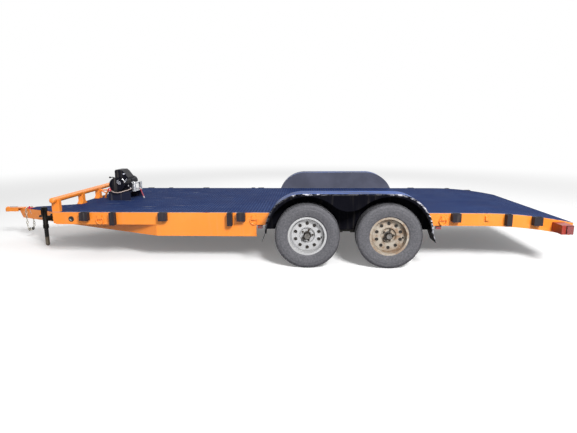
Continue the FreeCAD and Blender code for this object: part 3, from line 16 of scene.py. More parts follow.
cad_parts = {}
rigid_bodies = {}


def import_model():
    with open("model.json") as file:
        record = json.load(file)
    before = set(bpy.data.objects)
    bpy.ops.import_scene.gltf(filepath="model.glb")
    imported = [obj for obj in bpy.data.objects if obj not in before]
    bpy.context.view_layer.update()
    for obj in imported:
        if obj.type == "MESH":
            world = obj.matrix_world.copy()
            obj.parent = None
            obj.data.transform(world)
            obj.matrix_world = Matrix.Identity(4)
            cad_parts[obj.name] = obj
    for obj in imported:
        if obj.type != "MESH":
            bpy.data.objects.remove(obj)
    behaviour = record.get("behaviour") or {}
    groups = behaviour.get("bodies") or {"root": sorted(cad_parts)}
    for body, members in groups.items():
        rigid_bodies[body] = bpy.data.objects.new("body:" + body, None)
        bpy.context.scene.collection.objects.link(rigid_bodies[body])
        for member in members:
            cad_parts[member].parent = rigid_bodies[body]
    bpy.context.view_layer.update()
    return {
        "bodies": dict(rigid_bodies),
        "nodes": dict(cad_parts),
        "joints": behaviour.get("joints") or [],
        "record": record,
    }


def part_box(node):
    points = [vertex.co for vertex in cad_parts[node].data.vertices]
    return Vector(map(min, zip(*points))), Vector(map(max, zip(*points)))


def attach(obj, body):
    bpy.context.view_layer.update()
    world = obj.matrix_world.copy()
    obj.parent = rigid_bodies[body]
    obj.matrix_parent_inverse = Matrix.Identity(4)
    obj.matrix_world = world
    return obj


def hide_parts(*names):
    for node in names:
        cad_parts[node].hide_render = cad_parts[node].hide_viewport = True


log = logging.getLogger("trailer")

Colour = tuple[float, float, float]
Point = tuple[float, float, float]
CHASSIS = "chassis"


class Slot(str, Enum):
    """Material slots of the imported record."""

    TYRE = "tyre"
    SILVER = "wheel_silver"
    HUB = "hub_steel"
    DECK = "deck_blue"
    FENDER = "fender_blue"
    RUNNING_GEAR = "running_gear_black"
    JACK = "jack_black"
    LEG = "jack_steel"
    WINCH = "winch_black"
    ZINC = "fairlead_zinc"
    CHAIN = "chain_zinc"
    LAMP = "lamp_red"
    FRAME = "frame_orange"
    STRAP = "strap_red"


class Axis(Enum):
    """Directions that a turned shape can run along."""

    X = 0
    Y = 1
    Z = 2


class Side(Enum):
    """Sides of the trailer, with the sign of their Y."""

    LEFT = -1
    RIGHT = 1

    @property
    def word(self) -> str:
        """The side as it stands in node and body names."""
        return self.name.lower()


class End(Enum):
    """The two axles."""

    FRONT = "front"
    REAR = "rear"


# ---------------------------------------------------------------------------------------
# Node trees
# ---------------------------------------------------------------------------------------


class Weave:
    """Short hand for building one node tree."""

    def __init__(self, tree: bpy.types.NodeTree) -> None:
        """Starts on an empty tree.

        Args:
            tree: The node tree to fill.
        """
        self.tree = tree

    def add(self, kind: str, feeds: dict[Any, Any] | None = None, **settings: Any) -> bpy.types.Node:
        """Adds a node.

        Args:
            kind: The node's type name.
            feeds: Socket names or numbers, each with a value or an output to link.
            settings: Properties of the node.

        Returns:
            The new node.
        """
        node = self.tree.nodes.new(kind)
        for name, value in settings.items():
            setattr(node, name, value)
        for key, value in (feeds or {}).items():
            self.feed(node.inputs[key], value)
        return node

    def feed(self, socket: bpy.types.NodeSocket, value: Any) -> None:
        """Links an output to a socket, or sets its value.

        Args:
            socket: The input.
            value: An output socket or a plain value.
        """
        if isinstance(value, bpy.types.NodeSocket):
            self.tree.links.new(value, socket)
        elif isinstance(value, tuple) and len(value) == 3 and socket.type == "RGBA":
            socket.default_value = (*value, 1.0)
        else:
            socket.default_value = value

    def math(self, operation: str, *values: Any, clamp: bool = False) -> bpy.types.NodeSocket:
        """One Math node.

        Args:
            operation: Its operation.
            values: Its inputs, in order.
            clamp: Whether the result stays from 0 to 1.

        Returns:
            The result.
        """
        node = self.add("ShaderNodeMath", dict(enumerate(values)), operation=operation, use_clamp=clamp)
        return node.outputs[0]

    def vector(self, operation: str, *values: Any) -> bpy.types.NodeSocket:
        """One Vector Math node.

        Args:
            operation: Its operation.
            values: Its inputs, in order.

        Returns:
            The vector it gives.
        """
        return self.add("ShaderNodeVectorMath", dict(enumerate(values)), operation=operation).outputs[0]

    def mix(self, share: Any, first: Any, second: Any, blend: str = "MIX") -> bpy.types.NodeSocket:
        """Two colours mixed.

        Args:
            share: How much of the second.
            first: The first colour.
            second: The second colour.
            blend: The way they are mixed.

        Returns:
            The mixed colour.
        """
        node = self.add("ShaderNodeMix", data_type="RGBA", blend_type=blend, clamp_factor=True)
        for socket, value in zip((node.inputs[0], node.inputs[6], node.inputs[7]), (share, first, second)):
            self.feed(socket, value)
        return node.outputs[2]

    def band(self, value: Any, low: float, high: float) -> bpy.types.NodeSocket:
        """A smooth step from 0 at low to 1 at high, or the other way round.

        Args:
            value: The number to map.
            low: Where the step starts.
            high: Where it ends.

        Returns:
            The step.
        """
        node = self.add("ShaderNodeMapRange", {0: value, 1: low, 2: high}, interpolation_type="SMOOTHSTEP", clamp=True)
        return node.outputs[0]

    def noise(self, where: Any, scale: Any, detail: float = 3.0, rough: float = 0.55) -> bpy.types.NodeSocket:
        """Noise from about 0 to 1.

        Args:
            where: The place it is read at.
            scale: Its scale.
            detail: Its octaves.
            rough: Its roughness.

        Returns:
            The noise.
        """
        feeds = {"Vector": where, "Scale": scale, "Detail": detail, "Roughness": rough}
        return self.add("ShaderNodeTexNoise", feeds).outputs["Fac"]


def group(name: str, inputs: dict[str, Any], outputs: dict[str, str], fill: Callable[..., dict[str, Any]]) -> bpy.types.NodeTree:
    """Builds a shader group once.

    Args:
        name: Its name.
        inputs: Input names with their default values; a tuple is a colour.
        outputs: Output names with their socket kinds.
        fill: Given the tree and the group's input outputs, returns what feeds each output.

    Returns:
        The group.
    """
    if name in bpy.data.node_groups:
        return bpy.data.node_groups[name]
    tree = bpy.data.node_groups.new(name, "ShaderNodeTree")
    for label, value in inputs.items():
        kind = "NodeSocketColor" if isinstance(value, tuple) else "NodeSocketFloat"
        socket = tree.interface.new_socket(label, in_out="INPUT", socket_type=kind)
        socket.default_value = (*value, 1.0) if isinstance(value, tuple) else value
    for label, kind in outputs.items():
        tree.interface.new_socket(label, in_out="OUTPUT", socket_type=kind)
    weave = Weave(tree)
    entry = weave.add("NodeGroupInput")
    results = fill(weave, entry.outputs)
    leave = weave.add("NodeGroupOutput")
    for label, value in results.items():
        weave.feed(leave.inputs[label], value)
    return tree


def weathering() -> bpy.types.NodeTree:
    """Paint that has faded, chipped, caught dust and run with rain.

    Returns:
        The group: colour, roughness and height of the aged paint.
    """

    def fill(weave: Weave, given: Any) -> dict[str, Any]:
        """Lays fading, chips, streaks and dust over one another."""
        place = weave.add("ShaderNodeTexCoord").outputs["Object"]
        normal = weave.add("ShaderNodeNewGeometry").outputs["Normal"]
        up = weave.add("ShaderNodeSeparateXYZ", {0: normal}).outputs[2]
        faded = weave.band(weave.noise(place, 1.7, 4.0, 0.6), 0.38, 0.72)
        colour = weave.mix(weave.math("MULTIPLY", faded, given["Fade"]), given["Paint"], given["Faded"])
        coarse = weave.noise(place, weave.math("MULTIPLY", given["Grain"], 9.0), 3.0, 0.6)
        fine = weave.noise(place, weave.math("MULTIPLY", given["Grain"], 70.0), 4.0, 0.7)
        both = weave.math("ADD", weave.math("MULTIPLY", coarse, 0.55), weave.math("MULTIPLY", fine, 0.45))
        edge = weave.math("SUBTRACT", 0.78, weave.math("MULTIPLY", given["Chips"], 0.3))
        chipped = weave.math("MULTIPLY", weave.math("SUBTRACT", both, edge), 40.0, clamp=True)
        rim = weave.math("MULTIPLY", weave.math("SUBTRACT", both, weave.math("SUBTRACT", edge, 0.035)), 24.0, clamp=True)
        colour = weave.mix(weave.math("MULTIPLY", rim, 0.55), colour, given["Rust"])
        colour = weave.mix(chipped, colour, given["Bare"])
        stretched = weave.vector("MULTIPLY", place, (26.0, 26.0, 1.6))
        streaks = weave.band(weave.noise(stretched, 1.0, 3.0, 0.6), 0.52, 0.78)
        upright = weave.math("SUBTRACT", 1.0, weave.math("ABSOLUTE", up), clamp=True)
        runs = weave.math("MULTIPLY", weave.math("MULTIPLY", streaks, upright), given["Streaks"])
        colour = weave.mix(runs, colour, given["Dust Colour"])
        settled = weave.math("MULTIPLY", weave.math("MAXIMUM", up, 0.0), weave.band(weave.noise(place, 4.3, 5.0, 0.65), 0.35, 0.75))
        below = weave.math("MULTIPLY", weave.band(weave.add("ShaderNodeSeparateXYZ", {0: place}).outputs[2], 0.55, 0.12), 0.6)
        dust = weave.math("MULTIPLY", weave.math("ADD", settled, weave.math("MULTIPLY", below, fine)), given["Dust"], clamp=True)
        colour = weave.mix(dust, colour, given["Dust Colour"])
        matt = weave.math("ADD", weave.math("MULTIPLY", dust, 0.45), weave.math("MULTIPLY", chipped, 0.25))
        rough = weave.math("ADD", given["Roughness"], weave.math("ADD", matt, weave.math("MULTIPLY", weave.math("SUBTRACT", fine, 0.5), 0.14)), clamp=True)
        height = weave.math("SUBTRACT", weave.math("MULTIPLY", fine, 0.25), chipped)
        return {"Colour": colour, "Roughness": rough, "Height": height, "Chipped": chipped, "Dust": dust}

    inputs = {
        "Paint": (0.8, 0.3, 0.05), "Faded": (0.9, 0.4, 0.1), "Bare": (0.3, 0.28, 0.26), "Rust": (0.18, 0.06, 0.02),
        "Dust Colour": (0.42, 0.38, 0.32), "Fade": 0.5, "Chips": 0.4, "Streaks": 0.2, "Dust": 0.3, "Roughness": 0.4, "Grain": 1.0,
    }
    outputs = {"Colour": "NodeSocketColor", "Roughness": "NodeSocketFloat", "Height": "NodeSocketFloat",
               "Chipped": "NodeSocketFloat", "Dust": "NodeSocketFloat"}
    return group("weathering", inputs, outputs, fill)


def tread_lugs() -> bpy.types.NodeTree:
    """Raised lugs of tread plate, laid on X and Y, turned by turns one way and the other.

    Returns:
        The group: the lugs' mask.
    """

    def fill(weave: Weave, given: Any) -> dict[str, Any]:
        """Finds the place in a cell and measures it across a slanting lens."""
        place = weave.add("ShaderNodeTexCoord").outputs["Object"]
        split = weave.add("ShaderNodeSeparateXYZ", {0: place})
        along = weave.math("DIVIDE", split.outputs[0], given["Pitch"])
        across = weave.math("DIVIDE", split.outputs[1], given["Pitch"])
        parity = weave.math("FLOORED_MODULO", weave.math("ADD", weave.math("FLOOR", along), weave.math("FLOOR", across)), 2.0)
        u = weave.math("SUBTRACT", weave.math("FRACT", along), 0.5)
        v = weave.math("SUBTRACT", weave.math("FRACT", across), 0.5)
        flipped = weave.math("MULTIPLY", v, weave.math("SUBTRACT", 1.0, weave.math("MULTIPLY", parity, 2.0)))
        length = weave.math("MULTIPLY", weave.math("ADD", u, flipped), 0.7071)
        width = weave.math("MULTIPLY", weave.math("SUBTRACT", u, flipped), 0.7071)
        lens = weave.math("ADD", weave.math("POWER", weave.math("ABSOLUTE", weave.math("DIVIDE", length, 0.52)), 2.0),
                          weave.math("POWER", weave.math("ABSOLUTE", weave.math("DIVIDE", width, 0.17)), 2.0))
        return {"Lug": weave.band(lens, 1.15, 0.55)}

    return group("tread_lugs", {"Pitch": 0.03}, {"Lug": "NodeSocketFloat"}, fill)


def grain() -> bpy.types.NodeTree:
    """Fine mottling for metal, rubber and plastic.

    Returns:
        The group: colour, roughness and height.
    """

    def fill(weave: Weave, given: Any) -> dict[str, Any]:
        """Mixes a base and a second colour by two scales of noise."""
        place = weave.add("ShaderNodeTexCoord").outputs["Object"]
        large = weave.noise(place, given["Patches"], 4.0, 0.6)
        small = weave.noise(place, given["Speckle"], 3.0, 0.65)
        share = weave.band(weave.math("ADD", weave.math("MULTIPLY", large, 0.65), weave.math("MULTIPLY", small, 0.35)), 0.36, 0.68)
        colour = weave.mix(weave.math("MULTIPLY", share, given["Share"]), given["Base"], given["Second"])
        rough = weave.math("ADD", given["Roughness"], weave.math("MULTIPLY", weave.math("SUBTRACT", share, 0.5), given["Spread"]), clamp=True)
        return {"Colour": colour, "Roughness": rough, "Height": small, "Share": share}

    inputs = {"Base": (0.5, 0.5, 0.5), "Second": (0.3, 0.3, 0.3), "Share": 0.6, "Patches": 9.0, "Speckle": 120.0, "Roughness": 0.5, "Spread": 0.2}
    outputs = {"Colour": "NodeSocketColor", "Roughness": "NodeSocketFloat", "Height": "NodeSocketFloat", "Share": "NodeSocketFloat"}
    return group("grain", inputs, outputs, fill)


# ---------------------------------------------------------------------------------------
# Finishes
# ---------------------------------------------------------------------------------------


class Finish:
    """A material that is made once and then shared."""

    name: str
    slot: Slot

    def material(self) -> bpy.types.Material:
        """Gives the material, building it the first time.

        Returns:
            The material.
        """
        found = bpy.data.materials.get(self.name)
        if found:
            return found
        made = bpy.data.materials.new(self.name)
        made.use_nodes = True
        tree = made.node_tree
        tree.nodes.clear()
        weave = Weave(tree)
        shader = weave.add("ShaderNodeBsdfPrincipled")
        out = weave.add("ShaderNodeOutputMaterial")
        tree.links.new(shader.outputs[0], out.inputs[0])
        self.fill(weave, shader)
        return made

    def fill(self, weave: Weave, shader: bpy.types.Node) -> None:
        """Feeds the shader.

        Args:
            weave: The material's tree.
            shader: Its Principled BSDF.
        """
        raise NotImplementedError

    @staticmethod
    def place_group(weave: Weave, tree: bpy.types.NodeTree, values: dict[str, Any]) -> bpy.types.Node:
        """Puts a shader group in a material.

        Args:
            weave: The material's tree.
            tree: The group.
            values: Values or outputs for its inputs.

        Returns:
            The group's node.
        """
        node = weave.add("ShaderNodeGroup", node_tree=tree)
        for label, value in values.items():
            weave.feed(node.inputs[label], value)
        return node

    @staticmethod
    def bump(weave: Weave, height: Any, distance: float, strength: float = 1.0) -> bpy.types.NodeSocket:
        """A Bump node.

        Args:
            weave: The material's tree.
            height: Its height.
            distance: The height's size in metres.
            strength: How strongly it shows.

        Returns:
            The bent normal.
        """
        return weave.add("ShaderNodeBump", {"Height": height, "Distance": distance, "Strength": strength}).outputs[0]


@dataclass(frozen=True)
class Paint(Finish):
    """Paint on steel, aged out of doors."""

    name: str
    slot: Slot
    colour: Colour
    faded: Colour
    roughness: float = 0.42
    fade: float = 0.5
    chips: float = 0.35
    streaks: float = 0.18
    dust: float = 0.25
    coat: float = 0.25
    ior: float = 1.45
    grain: float = 1.0
    bare: Colour = (0.30, 0.28, 0.26)
    rust: Colour = (0.16, 0.05, 0.02)
    dust_colour: Colour = (0.40, 0.36, 0.30)

    def fill(self, weave: Weave, shader: bpy.types.Node) -> None:
        """Feeds aged paint to the shader."""
        aged = self.place_group(weave, weathering(), {
            "Paint": self.colour, "Faded": self.faded, "Bare": self.bare, "Rust": self.rust, "Dust Colour": self.dust_colour,
            "Fade": self.fade, "Chips": self.chips, "Streaks": self.streaks, "Dust": self.dust,
            "Roughness": self.roughness, "Grain": self.grain})
        weave.feed(shader.inputs["Base Color"], self.colouring(weave, aged.outputs["Colour"]))
        weave.feed(shader.inputs["Roughness"], aged.outputs["Roughness"])
        weave.feed(shader.inputs["Normal"], self.bump(weave, self.relief(weave, aged.outputs["Height"]), 0.0004, 0.6))
        shader.inputs["IOR"].default_value = self.ior
        shader.inputs["Coat Weight"].default_value = self.coat
        shader.inputs["Coat Roughness"].default_value = 0.12
        shader.inputs["Coat IOR"].default_value = self.ior

    def colouring(self, weave: Weave, colour: Any) -> Any:
        """Changes the aged colour; plain paint leaves it."""
        return colour

    def relief(self, weave: Weave, height: Any) -> Any:
        """Changes the height; plain paint leaves it."""
        return height


@dataclass(frozen=True)
class TreadPlate(Paint):
    """Navy tread plate with worn lugs and a bare strip along each edge."""

    pitch: float = 0.034
    lug: Colour = (0.060, 0.105, 0.26)
    scratch: Colour = (0.36, 0.37, 0.40)
    edge: float = 1.031

    def colouring(self, weave: Weave, colour: Any) -> Any:
        """Adds lug tops, scratches and the worn edge to the paint.

        Args:
            weave: The material's tree.
            colour: The aged paint.

        Returns:
            The plate's colour.
        """
        lugs = self.place_group(weave, tread_lugs(), {"Pitch": self.pitch}).outputs["Lug"]
        place = weave.add("ShaderNodeTexCoord").outputs["Object"]
        split = weave.add("ShaderNodeSeparateXYZ", {0: place})
        wear = weave.band(weave.noise(place, 2.6, 5.0, 0.65), 0.34, 0.66)
        top = weave.math("MULTIPLY", lugs, weave.math("ADD", 0.45, weave.math("MULTIPLY", wear, 0.55)))
        colour = weave.mix(top, colour, self.lug)
        tilted = weave.vector("MULTIPLY", place, (2.2, 34.0, 1.0))
        lines = weave.band(weave.noise(tilted, 1.0, 6.0, 0.7), 0.61, 0.66)
        front = weave.band(split.outputs[0], 0.4, -1.9)
        colour = weave.mix(weave.math("MULTIPLY", weave.math("MULTIPLY", lines, front), 0.7), colour, self.scratch)
        rim = weave.band(weave.math("ABSOLUTE", split.outputs[1]), self.edge, self.edge + 0.006)
        broken = weave.band(weave.noise(place, 11.0, 4.0, 0.6), 0.3, 0.5)
        return weave.mix(weave.math("MULTIPLY", rim, weave.math("MULTIPLY", broken, 0.75)), colour, self.scratch)

    def relief(self, weave: Weave, height: Any) -> Any:
        """Adds the lugs to the paint's height.

        Args:
            weave: The material's tree.
            height: The aged paint's height.

        Returns:
            The plate's height.
        """
        lugs = self.place_group(weave, tread_lugs(), {"Pitch": self.pitch}).outputs["Lug"]
        return weave.math("ADD", height, weave.math("MULTIPLY", lugs, 5.0))


@dataclass(frozen=True)
class Mottled(Finish):
    """Metal, rubber or plastic with two mingled shades."""

    name: str
    slot: Slot
    base: Colour
    second: Colour
    share: float = 0.6
    patches: float = 9.0
    speckle: float = 140.0
    roughness: float = 0.5
    spread: float = 0.25
    ior: float = 1.35
    metallic: float = 0.0
    relief: float = 0.0003
    coat: float = 0.0

    def fill(self, weave: Weave, shader: bpy.types.Node) -> None:
        """Feeds the mottled finish to the shader."""
        made = self.place_group(weave, grain(), {
            "Base": self.base, "Second": self.second, "Share": self.share, "Patches": self.patches,
            "Speckle": self.speckle, "Roughness": self.roughness, "Spread": self.spread})
        weave.feed(shader.inputs["Base Color"], self.colouring(weave, made.outputs["Colour"]))
        weave.feed(shader.inputs["Roughness"], made.outputs["Roughness"])
        weave.feed(shader.inputs["Normal"], self.bump(weave, made.outputs["Height"], self.relief, 0.5))
        shader.inputs["Metallic"].default_value = self.metallic
        shader.inputs["IOR"].default_value = self.ior
        shader.inputs["Coat Weight"].default_value = self.coat

    def colouring(self, weave: Weave, colour: Any) -> Any:
        """Changes the mottled colour; a plain finish leaves it."""
        return colour


@dataclass(frozen=True)
class FenderPaint(Paint):
    """Gloss paint of a fender: a painted blue sky reflection on upward faces, a painted lighter tone on the deck-side
    wall, black in the wheel well, and pale scuffs with a painted highlight along the arches.
    """

    # painted reflection: the blue of the sky on upward faces, not the paint's own colour
    top: Colour = (0.020, 0.075, 0.30)
    # painted light: a lighter grey for the deck-side wall where it catches light; the paint itself is the dark base
    # colour
    deck_side: Colour = (0.105, 0.110, 0.150)
    # pale scuffs along the arch lip, partly a painted highlight of the rolled edge
    scuff: Colour = (0.72, 0.72, 0.80)
    wall: float = 1.0432
    outer: float = 1.266
    middle: float = 1.0615
    flat: float = 0.471
    centre: float = 0.398
    round: float = 0.400

    def colouring(self, weave: Weave, colour: Any) -> Any:
        """Adds the painted sky reflection on top, the painted lighter tone of the deck-side wall and the arch scuffs
        with their painted highlight.

        Args:
            weave: The material's tree.
            colour: The aged paint.

        Returns:
            The fender's colour.
        """
        place = weave.add("ShaderNodeTexCoord").outputs["Object"]
        split = weave.add("ShaderNodeSeparateXYZ", {0: place})
        up = weave.add("ShaderNodeSeparateXYZ", {0: weave.add("ShaderNodeNewGeometry").outputs["Normal"]}).outputs[2]
        reach = weave.math("ABSOLUTE", split.outputs[1])
        # painted sky reflection: faces turned up take the blue in cloudy patches
        reflection_clouds = weave.band(weave.noise(weave.vector("MULTIPLY", place, (1.4, 6.0, 6.0)), 1.0, 3.0, 0.5), 0.36, 0.62)
        sky_reflection_mask = weave.math("MULTIPLY", weave.band(up, 0.25, 0.97), weave.math("ADD", 0.35, weave.math("MULTIPLY", reflection_clouds, 0.65)))
        colour = weave.mix(sky_reflection_mask, colour, self.top)
        # painted light: the deck-side wall gets a lighter grey, varied by noise
        lit_wall_mask = weave.band(reach, self.wall + 0.0004, self.wall - 0.0004)
        lit_wall_tone = weave.mix(weave.band(weave.noise(place, 3.0, 4.0, 0.6), 0.3, 0.7), self.deck_side, tuple(0.75 * part for part in self.deck_side))
        colour = weave.mix(lit_wall_mask, colour, lit_wall_tone)
        # pale marks along the arch lip: partly scuffs, partly a painted highlight of the rolled edge catching light
        edge = weave.band(reach, self.outer, self.outer + 0.009)
        broken = weave.band(weave.noise(weave.vector("MULTIPLY", place, (16.0, 1.0, 40.0)), 1.0, 5.0, 0.75), 0.47, 0.54)
        beyond = weave.math("SUBTRACT", weave.math("ABSOLUTE", weave.math("SUBTRACT", split.outputs[0], self.middle)), self.flat)
        aside = weave.math("POWER", weave.math("MAXIMUM", beyond, 0.0), 2.0)
        above = weave.math("POWER", weave.math("MAXIMUM", weave.math("SUBTRACT", split.outputs[2], self.centre), 0.0), 2.0)
        outline = weave.math("SQRT", weave.math("ADD", aside, above))
        lip = weave.math("MULTIPLY", weave.band(outline, self.round - 0.020, self.round - 0.008), edge)
        front = weave.math("MULTIPLY", weave.band(split.outputs[0], 0.42, 0.50), weave.band(split.outputs[0], 0.84, 0.70))
        rear = weave.band(split.outputs[0], 1.42, 1.58)
        where = weave.math("ADD", 0.12, weave.math("MAXIMUM", front, rear), clamp=True)
        worn = weave.math("MULTIPLY", weave.math("MULTIPLY", lip, broken), where)
        return weave.mix(weave.math("MULTIPLY", worn, 0.85), colour, self.scuff)


@dataclass(frozen=True)
class WornLeg(Mottled):
    """Jack leg: black paint above, worn to brown steel towards the foot."""

    paint: Colour = (0.008, 0.008, 0.008)
    bare_below: float = 0.118

    def colouring(self, weave: Weave, colour: Any) -> Any:
        """Lays the black paint over the steel above the worn end.

        Args:
            weave: The material's tree.
            colour: The steel.

        Returns:
            The leg's colour.
        """
        place = weave.add("ShaderNodeTexCoord").outputs["Object"]
        level = weave.add("ShaderNodeSeparateXYZ", {0: place}).outputs[2]
        ragged = weave.math("ADD", level, weave.math("MULTIPLY", weave.math("SUBTRACT", weave.noise(place, 45.0, 4.0, 0.7), 0.5), 0.05))
        return weave.mix(weave.band(ragged, self.bare_below - 0.008, self.bare_below + 0.012), colour, self.paint)


@dataclass(frozen=True)
class Webbing(Finish):
    """Woven strap with ribs across it and a pale worn end."""

    name: str
    slot: Slot
    colour: Colour
    worn: Colour
    foot: float = 0.575

    def fill(self, weave: Weave, shader: bpy.types.Node) -> None:
        """Feeds the weave to the shader."""
        place = weave.add("ShaderNodeTexCoord").outputs["Object"]
        split = weave.add("ShaderNodeSeparateXYZ", {0: place})
        ribs = weave.math("SINE", weave.math("MULTIPLY", split.outputs[2], 2200.0))
        warp = weave.math("SINE", weave.math("MULTIPLY", split.outputs[1], 3000.0))
        weft = weave.math("MULTIPLY", ribs, warp)
        tone = weave.mix(weave.band(weft, -0.6, 0.8), tuple(0.55 * part for part in self.colour), self.colour)
        tone = weave.mix(weave.band(split.outputs[2], self.foot + 0.012, self.foot), tone, self.worn)
        weave.feed(shader.inputs["Base Color"], tone)
        weave.feed(shader.inputs["Normal"], self.bump(weave, weft, 0.0004, 0.6))
        shader.inputs["Roughness"].default_value = 0.85
        shader.inputs["Sheen Weight"].default_value = 0.3


@dataclass(frozen=True)
class Lens(Finish):
    """Clear coloured plastic of a lamp."""

    name: str
    slot: Slot
    colour: Colour = (0.62, 0.02, 0.02)

    def fill(self, weave: Weave, shader: bpy.types.Node) -> None:
        """Feeds glossy plastic with fine prisms to the shader."""
        place = weave.add("ShaderNodeTexCoord").outputs["Object"]
        prisms = weave.add("ShaderNodeTexVoronoi", {"Vector": place, "Scale": 140.0}).outputs["Distance"]
        tone = weave.mix(weave.band(prisms, 0.1, 0.6), self.colour, tuple(0.55 * part for part in self.colour))
        weave.feed(shader.inputs["Base Color"], tone)
        weave.feed(shader.inputs["Normal"], self.bump(weave, prisms, 0.001, 0.5))
        shader.inputs["Roughness"].default_value = 0.16
        shader.inputs["Coat Weight"].default_value = 0.6


@dataclass(frozen=True)
class Finishes:
    """Every finish of the trailer."""

    orange: Paint = Paint("orange_frame_paint", Slot.FRAME, (0.92, 0.262, 0.022), (0.95, 0.32, 0.040), roughness=0.40,
                          chips=0.30, streaks=0.08, dust=0.05, coat=0.3)
    # painted shade: the frame's orange darkened to red-brown for the light boxes, whose faces turn away from the light
    box_red: Paint = Paint("light_box_red_paint", Slot.FRAME, (0.30, 0.018, 0.006), (0.42, 0.040, 0.010), roughness=0.40,
                           chips=0.30, streaks=0.10, dust=0.10, coat=0.2)
    tread: TreadPlate = TreadPlate("navy_tread_plate", Slot.DECK, (0.013, 0.024, 0.086), (0.020, 0.036, 0.110), roughness=0.62,
                                   chips=0.30, streaks=0.0, dust=0.03, coat=0.0, ior=1.05, bare=(0.13, 0.13, 0.14))
    pocket: Paint = Paint("pocket_slate_paint", Slot.DECK, (0.026, 0.022, 0.027), (0.048, 0.043, 0.050), roughness=0.5, chips=0.3,
                          dust=0.05, ior=1.2, coat=0.0)
    fender: FenderPaint = FenderPaint("fender_gloss_paint", Slot.FENDER, (0.0045, 0.0045, 0.007), (0.008, 0.008, 0.012), roughness=0.22,
                                      chips=0.12, streaks=0.05, dust=0.03, coat=0.0, ior=1.04, bare=(0.55, 0.55, 0.53), rust=(0.05, 0.04, 0.04))
    running_gear: Paint = Paint("chassis_black", Slot.RUNNING_GEAR, (0.009, 0.009, 0.010), (0.018, 0.017, 0.016), roughness=0.65,
                                chips=0.3, dust=0.15, coat=0.0, ior=1.3)
    # painted shade: the winch stand is near-black navy, standing for the shadow under the winch
    stand: Paint = Paint("winch_stand_navy", Slot.DECK, (0.010, 0.013, 0.030), (0.018, 0.020, 0.045), roughness=0.55, chips=0.3,
                         dust=0.05, coat=0.0, ior=1.25, bare=(0.06, 0.02, 0.05))
    jack: Paint = Paint("jack_black_paint", Slot.JACK, (0.005, 0.005, 0.005), (0.010, 0.010, 0.009), roughness=0.35, chips=0.25, dust=0.02,
                        coat=0.0, ior=1.15)
    leg: WornLeg = WornLeg("jack_leg_steel", Slot.LEG, (0.20, 0.17, 0.13), (0.07, 0.05, 0.035), metallic=0.35, roughness=0.5)
    winch: Paint = Paint("winch_satin_black", Slot.WINCH, (0.006, 0.006, 0.010), (0.014, 0.015, 0.024), roughness=0.30, chips=0.15,
                         dust=0.02, coat=0.0, ior=1.10)
    bolt: Mottled = Mottled("zinc_bolt", Slot.ZINC, (0.62, 0.62, 0.64), (0.42, 0.41, 0.40), metallic=0.9, roughness=0.34)
    zinc: Mottled = Mottled("zinc_roller", Slot.ZINC, (0.72, 0.73, 0.75), (0.52, 0.52, 0.53), metallic=0.75, roughness=0.32)
    chain: Mottled = Mottled("chain_zinc_plate", Slot.CHAIN, (0.56, 0.54, 0.46), (0.32, 0.27, 0.20), metallic=0.7, roughness=0.42)
    hook: Mottled = Mottled("hook_black_oxide", Slot.CHAIN, (0.03, 0.028, 0.026), (0.07, 0.05, 0.04), metallic=0.4, roughness=0.5)
    tyre: Mottled = Mottled("weathered_rubber", Slot.TYRE, (0.078, 0.078, 0.086), (0.165, 0.161, 0.175), share=0.8, patches=60.0,
                            speckle=240.0, roughness=0.78, spread=0.12, relief=0.0008)
    silver: Mottled = Mottled("silver_wheel_paint", Slot.SILVER, (0.47, 0.47, 0.48), (0.38, 0.375, 0.36), share=0.5, metallic=0.25,
                              roughness=0.36, spread=0.2)
    rusty: Mottled = Mottled("rusty_wheel_paint", Slot.SILVER, (0.44, 0.40, 0.34), (0.24, 0.14, 0.075), share=0.9, patches=13.0,
                             speckle=60.0, metallic=0.15, roughness=0.55, spread=0.3)
    hub: Mottled = Mottled("greasy_hub_steel", Slot.HUB, (0.19, 0.18, 0.17), (0.04, 0.035, 0.03), share=0.9, patches=26.0,
                           metallic=0.55, roughness=0.45, spread=0.35)
    nut: Mottled = Mottled("dark_lug_nut", Slot.HUB, (0.055, 0.048, 0.040), (0.12, 0.075, 0.045), metallic=0.5, roughness=0.45)
    # black grease, also used for the dark discs that are painted shade in the wheel vents
    grease: Mottled = Mottled("old_grease", Slot.HUB, (0.012, 0.010, 0.009), (0.03, 0.022, 0.016), patches=40.0, roughness=0.3, spread=0.3)
    lens: Lens = Lens("red_lens", Slot.LAMP, (0.30, 0.012, 0.012))
    webbing: Webbing = Webbing("red_webbing", Slot.STRAP, (0.50, 0.015, 0.055), (0.66, 0.60, 0.62))
    red_plastic: Mottled = Mottled("red_plastic", Slot.STRAP, (0.62, 0.020, 0.070), (0.40, 0.012, 0.040), roughness=0.4)
    pale_cable: Mottled = Mottled("pale_sheathed_cable", Slot.ZINC, (0.55, 0.45, 0.40), (0.36, 0.28, 0.25), roughness=0.5)
    # pale film for the blank label, also used for the painted highlight arcs on the winch housing
    label: Mottled = Mottled("blank_label_film", Slot.ZINC, (0.60, 0.62, 0.68), (0.42, 0.44, 0.52), roughness=0.35)
    gasket: Mottled = Mottled("black_rubber_gasket", Slot.TYRE, (0.02, 0.02, 0.02), (0.035, 0.035, 0.035), roughness=0.7, spread=0.1)
    housing: Mottled = Mottled("pale_lamp_housing", Slot.ZINC, (0.62, 0.60, 0.58), (0.45, 0.43, 0.41), roughness=0.45)


# ---------------------------------------------------------------------------------------
# Shapes
# ---------------------------------------------------------------------------------------


